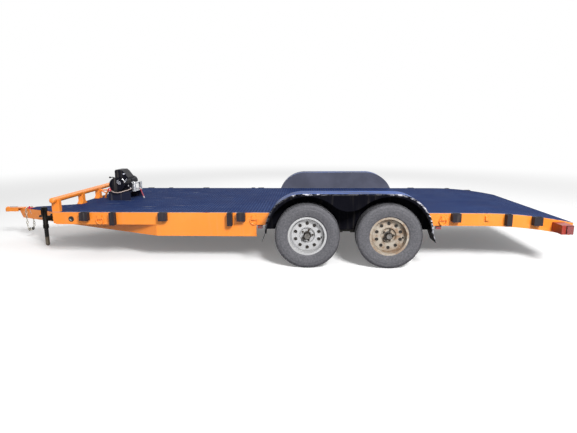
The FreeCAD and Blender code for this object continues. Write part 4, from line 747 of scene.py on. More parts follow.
class Shaper:
    """Gathers shapes of one piece in one mesh."""

    def __init__(self) -> None:
        """Starts with an empty mesh."""
        self.mesh = bmesh.new()

    def take(self, other: bmesh.types.BMesh) -> None:
        """Moves another mesh's faces into this one.

        Args:
            other: The mesh, which is used up.
        """
        holder = bpy.data.meshes.new("holder")
        bmesh.ops.recalc_face_normals(other, faces=other.faces)
        other.to_mesh(holder)
        other.free()
        self.mesh.from_mesh(holder)
        bpy.data.meshes.remove(holder)

    def block(self, low: Sequence[float], high: Sequence[float], bevel: float = 0.002, segments: int = 2,
              turn: Matrix | None = None) -> "Shaper":
        """Adds a block with rounded edges.

        Args:
            low: Its lowest corner.
            high: Its highest corner.
            bevel: The rounding's size.
            segments: The rounding's steps.
            turn: A turn about the block's middle.

        Returns:
            This shaper.
        """
        made = bmesh.new()
        bmesh.ops.create_cube(made, size=1.0)
        size = [high[i] - low[i] for i in range(3)]
        middle = Vector([(high[i] + low[i]) / 2 for i in range(3)])
        for vert in made.verts:
            vert.co = Vector([vert.co[i] * size[i] for i in range(3)])
        if bevel > 0:
            bmesh.ops.bevel(made, geom=made.edges[:], offset=min(bevel, min(size) * 0.45), segments=segments, profile=0.6, affect="EDGES")
        made.transform(Matrix.Translation(middle) @ (turn or Matrix()))
        self.take(made)
        return self

    def turned(self, profile: Iterable[tuple[float, float]], centre: Sequence[float], axis: Axis = Axis.Y, steps: int = 64) -> "Shaper":
        """Adds a shape turned about an axis.

        Args:
            profile: Pairs of place along the axis and radius, from end to end; a closed ring if it starts and ends alike.
            centre: The point that the profile's 0 lies at.
            axis: The axis.
            steps: Faces round the axis.

        Returns:
            This shaper.
        """
        points = list(profile)
        ring = points[0] == points[-1]
        if ring:
            points = points[:-1]
        made = bmesh.new()
        rows: list[list[bmesh.types.BMVert]] = []
        for along, radius in points:
            count = 1 if radius < 1e-7 else steps
            row = []
            for index in range(count):
                angle = 2 * math.pi * index / steps
                flat = (radius * math.cos(angle), radius * math.sin(angle))
                spot = {Axis.X: (along, *flat), Axis.Y: (flat[0], along, flat[1]), Axis.Z: (*flat, along)}[axis]
                row.append(made.verts.new(Vector(spot) + Vector(centre)))
            rows.append(row)
        pairs = list(zip(rows, rows[1:])) + ([(rows[-1], rows[0])] if ring else [])
        for first, second in pairs:
            for index in range(steps):
                after = (index + 1) % steps
                if len(first) == 1 and len(second) == 1:
                    continue
                if len(first) == 1:
                    made.faces.new((first[0], second[index], second[after]))
                elif len(second) == 1:
                    made.faces.new((first[index], second[0], first[after]))
                else:
                    made.faces.new((first[index], second[index], second[after], first[after]))
        if not ring:
            for row in (rows[0], rows[-1]):
                if len(row) > 1:
                    made.faces.new(row)
        self.take(made)
        return self

    def tube(self, points: Sequence[Sequence[float]], radius: float, sides: int = 12, closed: bool = False) -> "Shaper":
        """Adds a round bar along a path.

        Args:
            points: The path.
            radius: The bar's radius.
            sides: Faces round the bar.
            closed: Whether the path closes on itself.

        Returns:
            This shaper.
        """
        path = [Vector(point) for point in points]
        count = len(path)
        made = bmesh.new()
        rows = []
        side = None
        for index, spot in enumerate(path):
            ahead = path[(index + 1) % count] if closed or index + 1 < count else spot
            behind = path[index - 1] if closed or index else spot
            along = (ahead - behind).normalized()
            if side is None:
                side = along.orthogonal().normalized()
            side = (side - along * side.dot(along)).normalized()
            other = along.cross(side)
            row = []
            for step in range(sides):
                angle = 2 * math.pi * step / sides
                row.append(made.verts.new(spot + (side * math.cos(angle) + other * math.sin(angle)) * radius))
            rows.append(row)
        pairs = list(zip(rows, rows[1:])) + ([(rows[-1], rows[0])] if closed else [])
        for first, second in pairs:
            for step in range(sides):
                after = (step + 1) % sides
                made.faces.new((first[step], first[after], second[after], second[step]))
        if not closed:
            made.faces.new(rows[0])
            made.faces.new(rows[-1])
        self.take(made)
        return self

    def prism(self, outline: Sequence[tuple[float, float]], axis: Axis, low: float, high: float, bevel: float = 0.0) -> "Shaper":
        """Adds an outline pushed along an axis.

        Args:
            outline: Corners in the plane across the axis, in the order of the other two axes.
            axis: The direction it is pushed in.
            low: Where it starts.
            high: Where it ends.
            bevel: The rounding of its edges.

        Returns:
            This shaper.
        """
        made = bmesh.new()

        def spot(pair: tuple[float, float], along: float) -> Vector:
            """A corner in space."""
            return Vector({Axis.X: (along, *pair), Axis.Y: (pair[0], along, pair[1]), Axis.Z: (*pair, along)}[axis])

        first = [made.verts.new(spot(pair, low)) for pair in outline]
        second = [made.verts.new(spot(pair, high)) for pair in outline]
        count = len(outline)
        made.faces.new(first)
        made.faces.new(second)
        for index in range(count):
            after = (index + 1) % count
            made.faces.new((first[index], first[after], second[after], second[index]))
        if bevel > 0:
            bmesh.ops.recalc_face_normals(made, faces=made.faces)
            bmesh.ops.bevel(made, geom=made.edges[:], offset=bevel, segments=2, profile=0.6, affect="EDGES")
        self.take(made)
        return self

    def moved(self, matrix: Matrix) -> "Shaper":
        """Moves everything gathered so far.

        Args:
            matrix: The move.

        Returns:
            This shaper.
        """
        self.mesh.transform(matrix)
        return self

    def piece(self, name: str, finish: Finish, crease: float = 38.0) -> bpy.types.Object:
        """Makes an object of what was gathered, with smooth shading.

        Args:
            name: The object's name.
            finish: Its finish.
            crease: The angle in degrees past which an edge stays sharp.

        Returns:
            The object.
        """
        data = bpy.data.meshes.new(name)
        bmesh.ops.recalc_face_normals(self.mesh, faces=self.mesh.faces)
        self.mesh.to_mesh(data)
        self.mesh.free()
        data.materials.append(finish.material())
        made = bpy.data.objects.new(name, data)
        bpy.context.collection.objects.link(made)
        data.shade_smooth()
        data.set_sharp_from_angle(angle=math.radians(crease))
        return made


# ---------------------------------------------------------------------------------------
# Repeats
# ---------------------------------------------------------------------------------------


class Repeat(Enum):
    """Ways in which a piece is repeated by Geometry Nodes."""

    AROUND = "repeat_around_axle"
    ALONG = "repeat_along_line"

    def tree(self) -> bpy.types.NodeTree:
        """Gives the tree, building it the first time.

        Returns:
            The Geometry Nodes tree.
        """
        found = bpy.data.node_groups.get(self.value)
        return found or (self._around() if self is Repeat.AROUND else self._along())

    def _start(self, inputs: dict[str, str]) -> tuple[Weave, Any]:
        """Makes an empty tree with its inputs."""
        tree = bpy.data.node_groups.new(self.value, "GeometryNodeTree")
        tree.interface.new_socket("Geometry", in_out="OUTPUT", socket_type="NodeSocketGeometry")
        tree.interface.new_socket("Piece", in_out="INPUT", socket_type="NodeSocketGeometry")
        for label, kind in inputs.items():
            tree.interface.new_socket(label, in_out="INPUT", socket_type=kind)
        weave = Weave(tree)
        return weave, weave.add("NodeGroupInput").outputs

    @staticmethod
    def _close(weave: Weave, points: Any, given: Any, rotation: Any) -> None:
        """Instances the piece on points, makes it real and gives it its material."""
        on = weave.add("GeometryNodeInstanceOnPoints", {"Points": points, "Instance": given["Piece"], "Rotation": rotation})
        real = weave.add("GeometryNodeRealizeInstances", {0: on.outputs[0]})
        dressed = weave.add("GeometryNodeSetMaterial", {"Geometry": real.outputs[0], "Material": given["Material"]})
        weave.add("NodeGroupOutput", {0: dressed.outputs[0]})

    def _around(self) -> bpy.types.NodeTree:
        """Points on a circle about an axis along Y; the piece's +X is turned outwards."""
        weave, given = self._start({"Count": "NodeSocketInt", "Radius": "NodeSocketFloat", "Centre": "NodeSocketVector",
                                    "Start": "NodeSocketFloat", "Material": "NodeSocketMaterial"})
        index = weave.add("GeometryNodeInputIndex").outputs[0]
        turn = weave.math("ADD", weave.math("MULTIPLY", weave.math("DIVIDE", index, given["Count"]), 2 * math.pi), given["Start"])
        place = weave.add("ShaderNodeCombineXYZ", {
            0: weave.math("MULTIPLY", weave.math("COSINE", turn), given["Radius"]),
            2: weave.math("MULTIPLY", weave.math("SINE", turn), given["Radius"])}).outputs[0]
        points = weave.add("GeometryNodePoints", {"Count": given["Count"], "Position": weave.vector("ADD", place, given["Centre"])})
        facing = weave.add("ShaderNodeCombineXYZ", {1: weave.math("MULTIPLY", turn, -1.0)})
        self._close(weave, points.outputs[0], given, facing.outputs[0])
        return weave.tree

    def _along(self) -> bpy.types.NodeTree:
        """Points on a straight line with a fixed step."""
        weave, given = self._start({"Count": "NodeSocketInt", "First": "NodeSocketVector", "Step": "NodeSocketVector",
                                    "Material": "NodeSocketMaterial"})
        index = weave.add("GeometryNodeInputIndex").outputs[0]
        scaled = weave.add("ShaderNodeVectorMath", {0: given["Step"], "Scale": index}, operation="SCALE").outputs[0]
        points = weave.add("GeometryNodePoints", {"Count": given["Count"], "Position": weave.vector("ADD", scaled, given["First"])})
        self._close(weave, points.outputs[0], given, (0.0, 0.0, 0.0))
        return weave.tree

    def apply(self, piece: bpy.types.Object, **values: Any) -> bpy.types.Object:
        """Repeats a piece and keeps the result as its plain mesh.

        Args:
            piece: The piece, modelled about the origin.
            values: The tree's inputs, with underscores for spaces.

        Returns:
            The same object, now holding every copy.
        """
        tree = self.tree()
        modifier = piece.modifiers.new("Repeat", "NODES")
        modifier.node_group = tree
        values["Material"] = piece.data.materials[0]
        for item in tree.interface.items_tree:
            if item.item_type == "SOCKET" and item.in_out == "INPUT" and item.name in values:
                modifier[item.identifier] = values[item.name]
        graph = bpy.context.evaluated_depsgraph_get()
        result = bpy.data.meshes.new_from_object(piece.evaluated_get(graph), depsgraph=graph)
        piece.modifiers.clear()
        old = piece.data
        piece.data = result
        result.name = old.name
        bpy.data.meshes.remove(old)
        return piece


# ---------------------------------------------------------------------------------------
# Shared work of the sub-assemblies
# ---------------------------------------------------------------------------------------


@dataclass
class Assembly:
    """A part of the trailer that dresses CAD nodes and adds pieces of its own."""

    frame: dict[str, Any]
    finishes: Finishes

    def build(self) -> None:
        """Builds and dresses the sub-assembly."""
        raise NotImplementedError

    def dress(self, finish: Finish, *nodes: str) -> None:
        """Gives CAD nodes a finish.

        Args:
            finish: The finish.
            nodes: The nodes' names.
        """
        for node in nodes:
            data = self.frame["nodes"][node].data
            data.materials.clear()
            data.materials.append(finish.material())
        log.info("dressed %s: %s", finish.name, ", ".join(nodes))

    def touch(self, node: str, start: Point, ahead: Point) -> Vector:
        """Finds where a straight line first meets a CAD node.

        Args:
            node: The node's name.
            start: Where the line starts.
            ahead: Its direction.

        Returns:
            The place, or the start if the line misses.
        """
        hit, place, _, _ = self.frame["nodes"][node].ray_cast(Vector(start), Vector(ahead))
        return place if hit else Vector(start)

    def settle(self, piece: bpy.types.Object, finish: Finish, body: str = CHASSIS, replaces: Sequence[str] = ()) -> bpy.types.Object:
        """Lets a piece ride on a body.

        Args:
            piece: The piece.
            finish: Its finish; not used.
            body: The body it moves with.
            replaces: CAD nodes that it stands for.

        Returns:
            The piece.
        """
        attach(piece, body)
        if replaces:
            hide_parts(*replaces)
        log.info("made %s on %s", piece.name, body)
        return piece


# ---------------------------------------------------------------------------------------
# Deck, frame and fittings
# ---------------------------------------------------------------------------------------


@dataclass
class Deck(Assembly):
    """Tread plates of the deck, the tail and the tongue."""

    def build(self) -> None:
        """Dresses the plates."""
        self.dress(self.finishes.tread, "deck_plate", "tail_plate", "tongue_plate")


@dataclass
class Frame(Assembly):
    """Rails, beams and the fittings on them."""

    orange: tuple[str, ...] = ("side_rail_left", "side_rail_right", "front_beam", "rear_beam", "crossmembers",
                               "tongue_rail_left", "tongue_rail_right", "ring_clips", "tie_down_rings")
    grommet: float = 0.031
    grommet_x: float = -1.9965
    grommet_z: float = 0.480

    def build(self) -> None:
        """Dresses the frame and the pockets."""
        self.dress(self.finishes.orange, *self.orange)
        self.dress(self.finishes.pocket, "stake_pockets")
        # the light boxes take the darkened orange: painted shade
        self.dress(self.finishes.box_red, "light_boxes")
        self.grommets()

    def grommets(self) -> None:
        """A round rubber grommet in the front of each side rail, with a pale curl of cable in it that also stands for
        the painted highlight inside the hole.
        """
        rings, highlight_curls = Shaper(), Shaper()
        for side in Side:
            node = f"side_rail_{side.word}"
            face = self.touch(node, (self.grommet_x, side.value * 2.0, self.grommet_z), (0.0, -side.value, 0.0))
            out = side.value
            profile = [(-0.002, 0.0), (-0.002, self.grommet), (0.003, self.grommet), (0.006, self.grommet - 0.003),
                       (0.006, self.grommet - 0.007), (0.001, self.grommet - 0.010), (0.0005, 0.0)]
            rings.turned([(out * along, radius) for along, radius in profile], tuple(face), Axis.Y, 48)
            # pale curl inside the grommet: a cable, partly a painted highlight of the hole's inside
            highlight_curls.tube([face + Vector((0.015 * math.cos(t), out * 0.0025, 0.015 * math.sin(t)))
                        for t in (math.radians(angle) for angle in range(175, 320, 12))], 0.0026, 10)
        self.settle(rings.piece("rail_grommets", self.finishes.gasket), self.finishes.gasket)
        self.settle(highlight_curls.piece("grommet_cables", self.finishes.zinc), self.finishes.zinc)


@dataclass
class Headboard(Assembly):
    """The round rail across the front and its posts."""

    cap_bulge: float = 0.012
    corner_post: float = 0.050
    inner_setback: float = 0.592
    gusset: float = 0.045

    def build(self) -> None:
        """Dresses the rail and posts, and adds end caps, gussets at the posts' feet and small braces under the rail."""
        self.dress(self.finishes.orange, "stop_rail", "stop_posts")
        low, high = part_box("stop_rail")
        radius = (high[2] - low[2]) / 2
        axis_x, axis_z = (low[0] + high[0]) / 2, (low[2] + high[2]) / 2
        caps = Shaper()
        for side in Side:
            end = high[1] if side is Side.RIGHT else low[1]
            dome = [(side.value * self.cap_bulge * math.sin(t * math.pi / 16), radius * math.cos(t * math.pi / 16)) for t in range(8)]
            dome.append((side.value * self.cap_bulge, 0.0))
            caps.turned([(0.0, 0.0)] + dome, (axis_x, end, axis_z), Axis.Y, 48)
        self.settle(caps.piece("stop_rail_caps", self.finishes.orange), self.finishes.orange)
        post_low, post_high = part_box("stop_posts")
        side_y = post_high[1]
        feet = Shaper()
        for middle in (side_y - self.inner_setback, 0.0, self.inner_setback - side_y):
            for way in (-1, 1):
                edge = middle + way * 0.020
                corners = [(edge, post_low[2] + 0.0005), (edge + way * self.gusset, post_low[2] + 0.0005),
                           (edge + way * self.gusset, post_low[2] + 0.008), (edge, post_low[2] + self.gusset)]
                feet.prism(corners, Axis.X, post_low[0] + 0.012, post_high[0] - 0.012, 0.001)
        foot_z = post_low[2] + 0.002
        feet.tube([(axis_x + 0.020, 0.0, axis_z - 0.028), (axis_x + 0.150, 0.0, axis_z - 0.028)], 0.009, 14)
        feet.tube([(axis_x + 0.030, 0.0, axis_z - 0.034), (axis_x + 0.112, 0.0, foot_z + 0.062)], 0.008, 14)
        feet.tube([(axis_x + 0.146, 0.0, axis_z - 0.026), (axis_x + 0.108, 0.0, foot_z + 0.058), (axis_x + 0.088, 0.0, foot_z)], 0.0125, 14)
        self.settle(feet.piece("headboard_feet", self.finishes.orange), self.finishes.orange)


@dataclass
class Tongue(Assembly):
    """Coupler and the chains that hang from the tongue."""

    wire: float = 0.0043
    link_length: float = 0.042
    link_width: float = 0.029
    link_pitch: float = 0.0325
    tag_x: float = -3.090

    def build(self) -> None:
        """Dresses the coupler and makes the chains' links."""
        self.dress(self.finishes.orange, "coupler")
        self.dress(self.finishes.bolt, "coupler_latch")
        for side in Side:
            self.chain(side)
            self.hook(side)
        self.tag()

    def hook(self, side: Side) -> None:
        """A forged hook with its latch at the lowest point of a chain.

        Args:
            side: The chain's side.
        """
        low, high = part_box(f"safety_chain_{side.word}")
        centre = Vector(((low[0] + high[0]) / 2 + side.value * 0.006, side.value * 0.026, low[2] + 0.022))
        curl = [centre + Vector((0.004 * side.value, 0.019 * math.cos(t), 0.019 * math.sin(t)))
                for t in (math.radians(angle) for angle in range(-200, 60, 15))]
        shape = Shaper().tube(curl, 0.0062, 12)
        shape.turned([(-0.006, 0.0), (-0.006, 0.011), (0.0, 0.013), (0.006, 0.011), (0.006, 0.0)], tuple(curl[0]), Axis.X, 20)
        self.settle(shape.piece(f"chain_hook_{side.word}", self.finishes.hook), self.finishes.hook)

    def tag(self) -> None:
        """A red breakaway pin on the tongue's point, with its pale lanyard down the left rail."""
        foot = self.touch("tongue_plate", (self.tag_x, -0.055, 1.0), (0.0, 0.0, -1.0))
        deck = foot[2] if foot[2] < 0.9 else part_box("tongue_rail_left")[1][2]
        red = Shaper().block((self.tag_x - 0.026, -0.072, deck - 0.001), (self.tag_x + 0.026, -0.040, deck + 0.017), 0.004)
        red.turned([(0.0, 0.0), (0.0, 0.009), (0.016, 0.009), (0.020, 0.005), (0.020, 0.0)], (self.tag_x - 0.008, -0.056, deck + 0.014), Axis.Z, 20)
        self.settle(red.piece("breakaway_pin", self.finishes.red_plastic), self.finishes.red_plastic)
        path = [Vector((self.tag_x + 0.012, -0.056, deck + 0.016))]
        for step, level in enumerate((-0.012, -0.030, -0.050, -0.066)):
            x = self.tag_x + 0.020 + 0.006 * step
            path.append(self.touch("tongue_rail_left", (x, -1.0, deck + level), (0.0, 1.0, 0.0)) + Vector((0.0, -0.0022, 0.0)))
        cord = Shaper().tube(path, 0.0026, 10)
        self.settle(cord.piece("breakaway_lanyard", self.finishes.pale_cable), self.finishes.pale_cable)

    def link(self) -> Shaper:
        """One link about the origin, long along Z and flat across Y.

        Returns:
            The link's shape.
        """
        bend = self.link_width / 2 - self.wire
        reach = self.link_length / 2 - self.wire - bend
        path = []
        for top in (1, -1):
            for step in range(7):
                angle = math.pi * step / 6
                path.append((top * bend * math.cos(angle), 0.0, top * (reach + bend * math.sin(angle))))
        return Shaper().tube(path, self.wire, 8, closed=True)

    def chain(self, side: Side) -> None:
        """Links from the tongue's top, over its edge and down to the loop's lowest point.

        Args:
            side: The chain's side.
        """
        node = f"safety_chain_{side.word}"
        low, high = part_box(node)
        x = (low[0] + high[0]) / 2
        wide = max(abs(low[1]), abs(high[1])) - (high[0] - low[0]) / 2
        thick = (high[0] - low[0]) / 2
        bottom, top = low[2] + thick, high[2] - thick
        path = [Vector((x, 0.0, top))]
        steps = 9
        for step in range(1, 5):
            angle = math.pi / 2 * step / 4
            path.append(Vector((x, wide - 0.016 + 0.016 * math.sin(angle), top - 0.016 + 0.016 * math.cos(angle))))
        for step in range(steps + 1):
            angle = math.pi / 2 * step / steps
            path.append(Vector((x, wide * math.cos(angle), bottom + wide - wide * math.sin(angle))))
        lengths = [0.0]
        for first, second in zip(path, path[1:]):
            lengths.append(lengths[-1] + (second - first).length)
        count = int(lengths[-1] / self.link_pitch)
        links = Shaper()
        for index in range(count):
            goal = (index + 0.5) * lengths[-1] / count
            run = max(i for i in range(len(path) - 1) if lengths[i] <= goal)
            share = (goal - lengths[run]) / (lengths[run + 1] - lengths[run])
            spot = path[run].lerp(path[run + 1], share)
            along = (path[run + 1] - path[run]).normalized()
            turn = Vector((0.0, 0.0, 1.0)).rotation_difference(along).to_matrix().to_4x4()
            roll = Matrix.Rotation(math.pi / 2 * (index % 2) + math.pi / 4, 4, "Z")
            one = self.link().moved(Matrix.Translation(Vector((spot[0], side.value * spot[1], spot[2])))
                                    @ Matrix.Scale(side.value, 4, (0, 1, 0)) @ turn @ roll)
            links.take(one.mesh)
        self.settle(links.piece(f"{node}_links", self.finishes.chain), self.finishes.chain, replaces=[node])


@dataclass
class Jack(Assembly):
    """Swivel jack: tube, head, crank and leg."""

    def build(self) -> None:
        """Dresses the jack and adds its knob."""
        self.dress(self.finishes.jack, "jack_tube", "jack_crank", "jack_mount")
        self.dress(self.finishes.leg, "jack_leg")
        low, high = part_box("jack_leg")
        x, y = (low[0] + high[0]) / 2, (low[1] + high[1]) / 2
        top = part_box("jack_tube")[1][2]
        cap = [(-0.010, 0.030), (-0.010, 0.0345), (0.002, 0.0345), (0.006, 0.031), (0.008, 0.020), (0.0085, 0.0)]
        head = Shaper().turned([(-0.010, 0.0)] + cap, (x, y, top), Axis.Z, 40)
        head.turned([(0.0, 0.0), (0.0, 0.009), (0.003, 0.009), (0.0045, 0.0)], (x, y, top + 0.008), Axis.Z, 6)
        self.settle(head.piece("jack_head_cap", self.finishes.jack), self.finishes.jack, "jack")
        crank_low, crank_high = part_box("jack_crank")
        grip_x = (crank_low[0] + crank_high[0]) / 2
        grip = Shaper().turned([(0.0, 0.0), (0.0, 0.0125), (0.004, 0.0138), (0.030, 0.0138), (0.034, 0.0125), (0.034, 0.0)],
                               (grip_x, crank_low[1] - 0.002, crank_low[2] + 0.0125), Axis.Y, 24)
        self.settle(grip.piece("jack_crank_grip", self.finishes.gasket), self.finishes.gasket, "jack")


@dataclass
class Winch(Assembly):
    """Winch with its gear housing, drum, motor, control box and fairlead."""

    ribs: int = 28

    def build(self) -> None:
        """Dresses the winch and adds ribs, bolts, painted highlight arcs, fittings and the strap."""
        # the stand is dressed near black: painted shade under the winch
        self.dress(self.finishes.stand, "winch_stand")
        self.dress(self.finishes.winch, "winch", "winch_control_box")
        self.dress(self.finishes.zinc, "fairlead_frame", "fairlead_rollers")
        low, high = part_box("winch")
        axis_x = (low[0] + high[0]) / 2
        axis_z = high[2] - (high[0] - low[0]) / 2
        radius = (high[0] - low[0]) / 2
        rib = Shaper().block((-0.004, -0.055, -0.004), (0.004, 0.055, 0.004), 0.0015).piece("gear_housing_ribs", self.finishes.winch)
        Repeat.AROUND.apply(rib, Count=self.ribs, Radius=radius - 0.001, Centre=(axis_x, low[1] + 0.07, axis_z), Start=0.0)
        self.settle(rib, self.finishes.winch)
        bolt = Shaper().turned([(-0.004, 0.0), (-0.004, 0.006), (0.002, 0.006), (0.003, 0.004), (0.003, 0.0)], (0, 0, 0), Axis.Y, 12)
        bolts = bolt.piece("gear_housing_bolts", self.finishes.winch)
        Repeat.AROUND.apply(bolts, Count=10, Radius=radius * 0.78, Centre=(axis_x, low[1] - 0.001, axis_z), Start=0.2)
        self.settle(bolts, self.finishes.winch)
        # painted highlights: pale arcs on the housing's near face stand for light on the round housing
        highlight_arcs = Shaper()
        for reach in (0.030, 0.044, 0.058):
            highlight_arcs.tube([(axis_x + reach * math.cos(t), low[1] - 0.0005, axis_z + reach * math.sin(t))
                       for t in (math.radians(angle) for angle in range(8, 88, 8))], 0.0022, 8)
        self.settle(highlight_arcs.piece("gear_housing_ridges", self.finishes.label), self.finishes.label)
        self.fittings(low, high)
        self.strap()

    def fittings(self, low: Sequence[float], high: Sequence[float]) -> None:
        """Clutch lever, clamp, bracket, power lead, shackle and blank label.

        Args:
            low: The winch's lowest corner.
            high: Its highest corner.
        """
        near = low[1]
        lever = Shaper().tube([(high[0] - 0.110, near + 0.040, high[2] - 0.012), (high[0] - 0.140, near + 0.020, high[2] + 0.004),
                               (high[0] - 0.172, near + 0.012, high[2] + 0.002)], 0.0055, 12)
        lever.turned([(-0.012, 0.0), (-0.010, 0.008), (0.0, 0.012), (0.010, 0.008), (0.012, 0.0)],
                     (high[0] - 0.172, near + 0.012, high[2] + 0.002), Axis.X, 20)
        self.settle(lever.piece("clutch_lever", self.finishes.winch), self.finishes.winch)
        nub = Shaper().turned([(0.0, 0.0), (0.0, 0.010), (0.010, 0.010), (0.014, 0.006), (0.014, 0.0)],
                              (high[0] - 0.140, near + 0.030, high[2] - 0.008), Axis.Z, 20)
        self.settle(nub.piece("clutch_nub", self.finishes.zinc), self.finishes.zinc)
        box_low, box_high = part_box("winch_control_box")
        face = near + 0.014
        clamp = Shaper().tube([(high[0] - 0.012, face, box_low[2] + 0.012), (high[0] + 0.016, face, box_low[2] - 0.034),
                               (box_high[0] - 0.010, face, box_low[2] + 0.010)], 0.0068, 14)
        self.settle(clamp.piece("cable_clamp", self.finishes.zinc), self.finishes.zinc)
        frame_low, frame_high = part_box("fairlead_frame")
        plate = Shaper().block((high[0] - 0.010, frame_low[1] - 0.022, low[2]), (frame_low[0] + 0.006, frame_low[1] - 0.012, low[2] + 0.098), 0.003)
        self.settle(plate.piece("fairlead_bracket", self.finishes.winch), self.finishes.winch)
        heads = Shaper()
        for x, z in ((high[0] + 0.022, low[2] + 0.070), (high[0] + 0.046, low[2] + 0.040)):
            heads.turned([(0.0, 0.0), (0.0, 0.0105), (-0.006, 0.0105), (-0.008, 0.007), (-0.008, 0.0)], (x, frame_low[1] - 0.0225, z), Axis.Y, 6)
        self.settle(heads.piece("bracket_bolts", self.finishes.bolt), self.finishes.bolt)
        eye = [(frame_low[0] + 0.012 + 0.017 * math.cos(t), frame_low[1] + 0.008, frame_high[2] + 0.007 + 0.010 * math.sin(t))
               for t in (2 * math.pi * step / 20 for step in range(20))]
        self.settle(Shaper().tube(eye, 0.0048, 10, closed=True).piece("fairlead_eye", self.finishes.zinc), self.finishes.zinc)
        lead = [(low[0] + 0.012, near + 0.030, low[2] + 0.030), (low[0] + 0.028, near + 0.004, low[2] + 0.008), (low[0] + 0.065, near - 0.002, low[2] - 0.003),
                (low[0] + 0.103, near - 0.003, low[2] - 0.005), (low[0] + 0.140, near - 0.001, low[2] + 0.002), (low[0] + 0.165, near + 0.012, low[2] + 0.009),
                (low[0] + 0.205, near + 0.060, low[2] + 0.018), (low[0] + 0.232, near + 0.098, low[2] + 0.030), (frame_low[0] - 0.004, frame_low[1] - 0.018, low[2] + 0.036)]
        self.settle(Shaper().tube(lead, 0.0052, 12).piece("power_lead", self.finishes.pale_cable), self.finishes.pale_cable)
        ring = [(low[0] - 0.003 + 0.017 * math.cos(t), near + 0.008, low[2] + 0.034 + 0.017 * math.sin(t))
                for t in (2 * math.pi * step / 20 for step in range(20))]
        self.settle(Shaper().tube(ring, 0.0068, 12, closed=True).piece("strap_shackle", self.finishes.red_plastic), self.finishes.red_plastic)
        label = Shaper().block((box_high[0] - 0.064, box_low[1] - 0.0008, box_high[2] - 0.060), (box_high[0] - 0.038, box_low[1] + 0.0005, box_high[2] - 0.046), 0.0003)
        self.settle(label.piece("blank_label", self.finishes.label), self.finishes.label)

    def strap(self) -> None:
        """The pull strap from the fairlead down to the deck, with its seam and pale end."""
        low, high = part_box("pull_strap")
        half = 0.0019
        count = 14
        rows = []
        for step in range(count + 1):
            share = step / count
            x = low[0] + half + (high[0] - low[0] - 2 * half) * (share ** 0.8)
            z = high[2] - 0.001 - (high[2] - low[2] - 0.001) * share
            rows.append((x + 0.0012 * math.sin(share * 9.0), z))
        outline = [(x - half, z) for x, z in rows] + [(x + half, z) for x, z in reversed(rows)]
        shape = Shaper().prism(outline, Axis.Y, low[1], high[1])
        seam_x, seam_z = rows[3]
        shape.block((seam_x - 0.0032, low[1] + 0.002, seam_z - 0.012), (seam_x + 0.0032, high[1] - 0.002, seam_z + 0.012), 0.001)
        self.settle(shape.piece("pull_strap_webbing", self.finishes.webbing), self.finishes.webbing, replaces=["pull_strap"])


@dataclass
class Fenders(Assembly):
    """Teardrop fenders over the tandem wheels."""

    def build(self) -> None:
        """Dresses the fenders."""
        self.dress(self.finishes.fender, "fender_left", "fender_right")


@dataclass
class RunningGear(Assembly):
    """Axles, springs, hangers and equalizers."""

    def build(self) -> None:
        """Dresses the running gear."""
        self.dress(self.finishes.running_gear, "axle_front", "axle_rear", "leaf_springs", "spring_hangers", "equalizers")


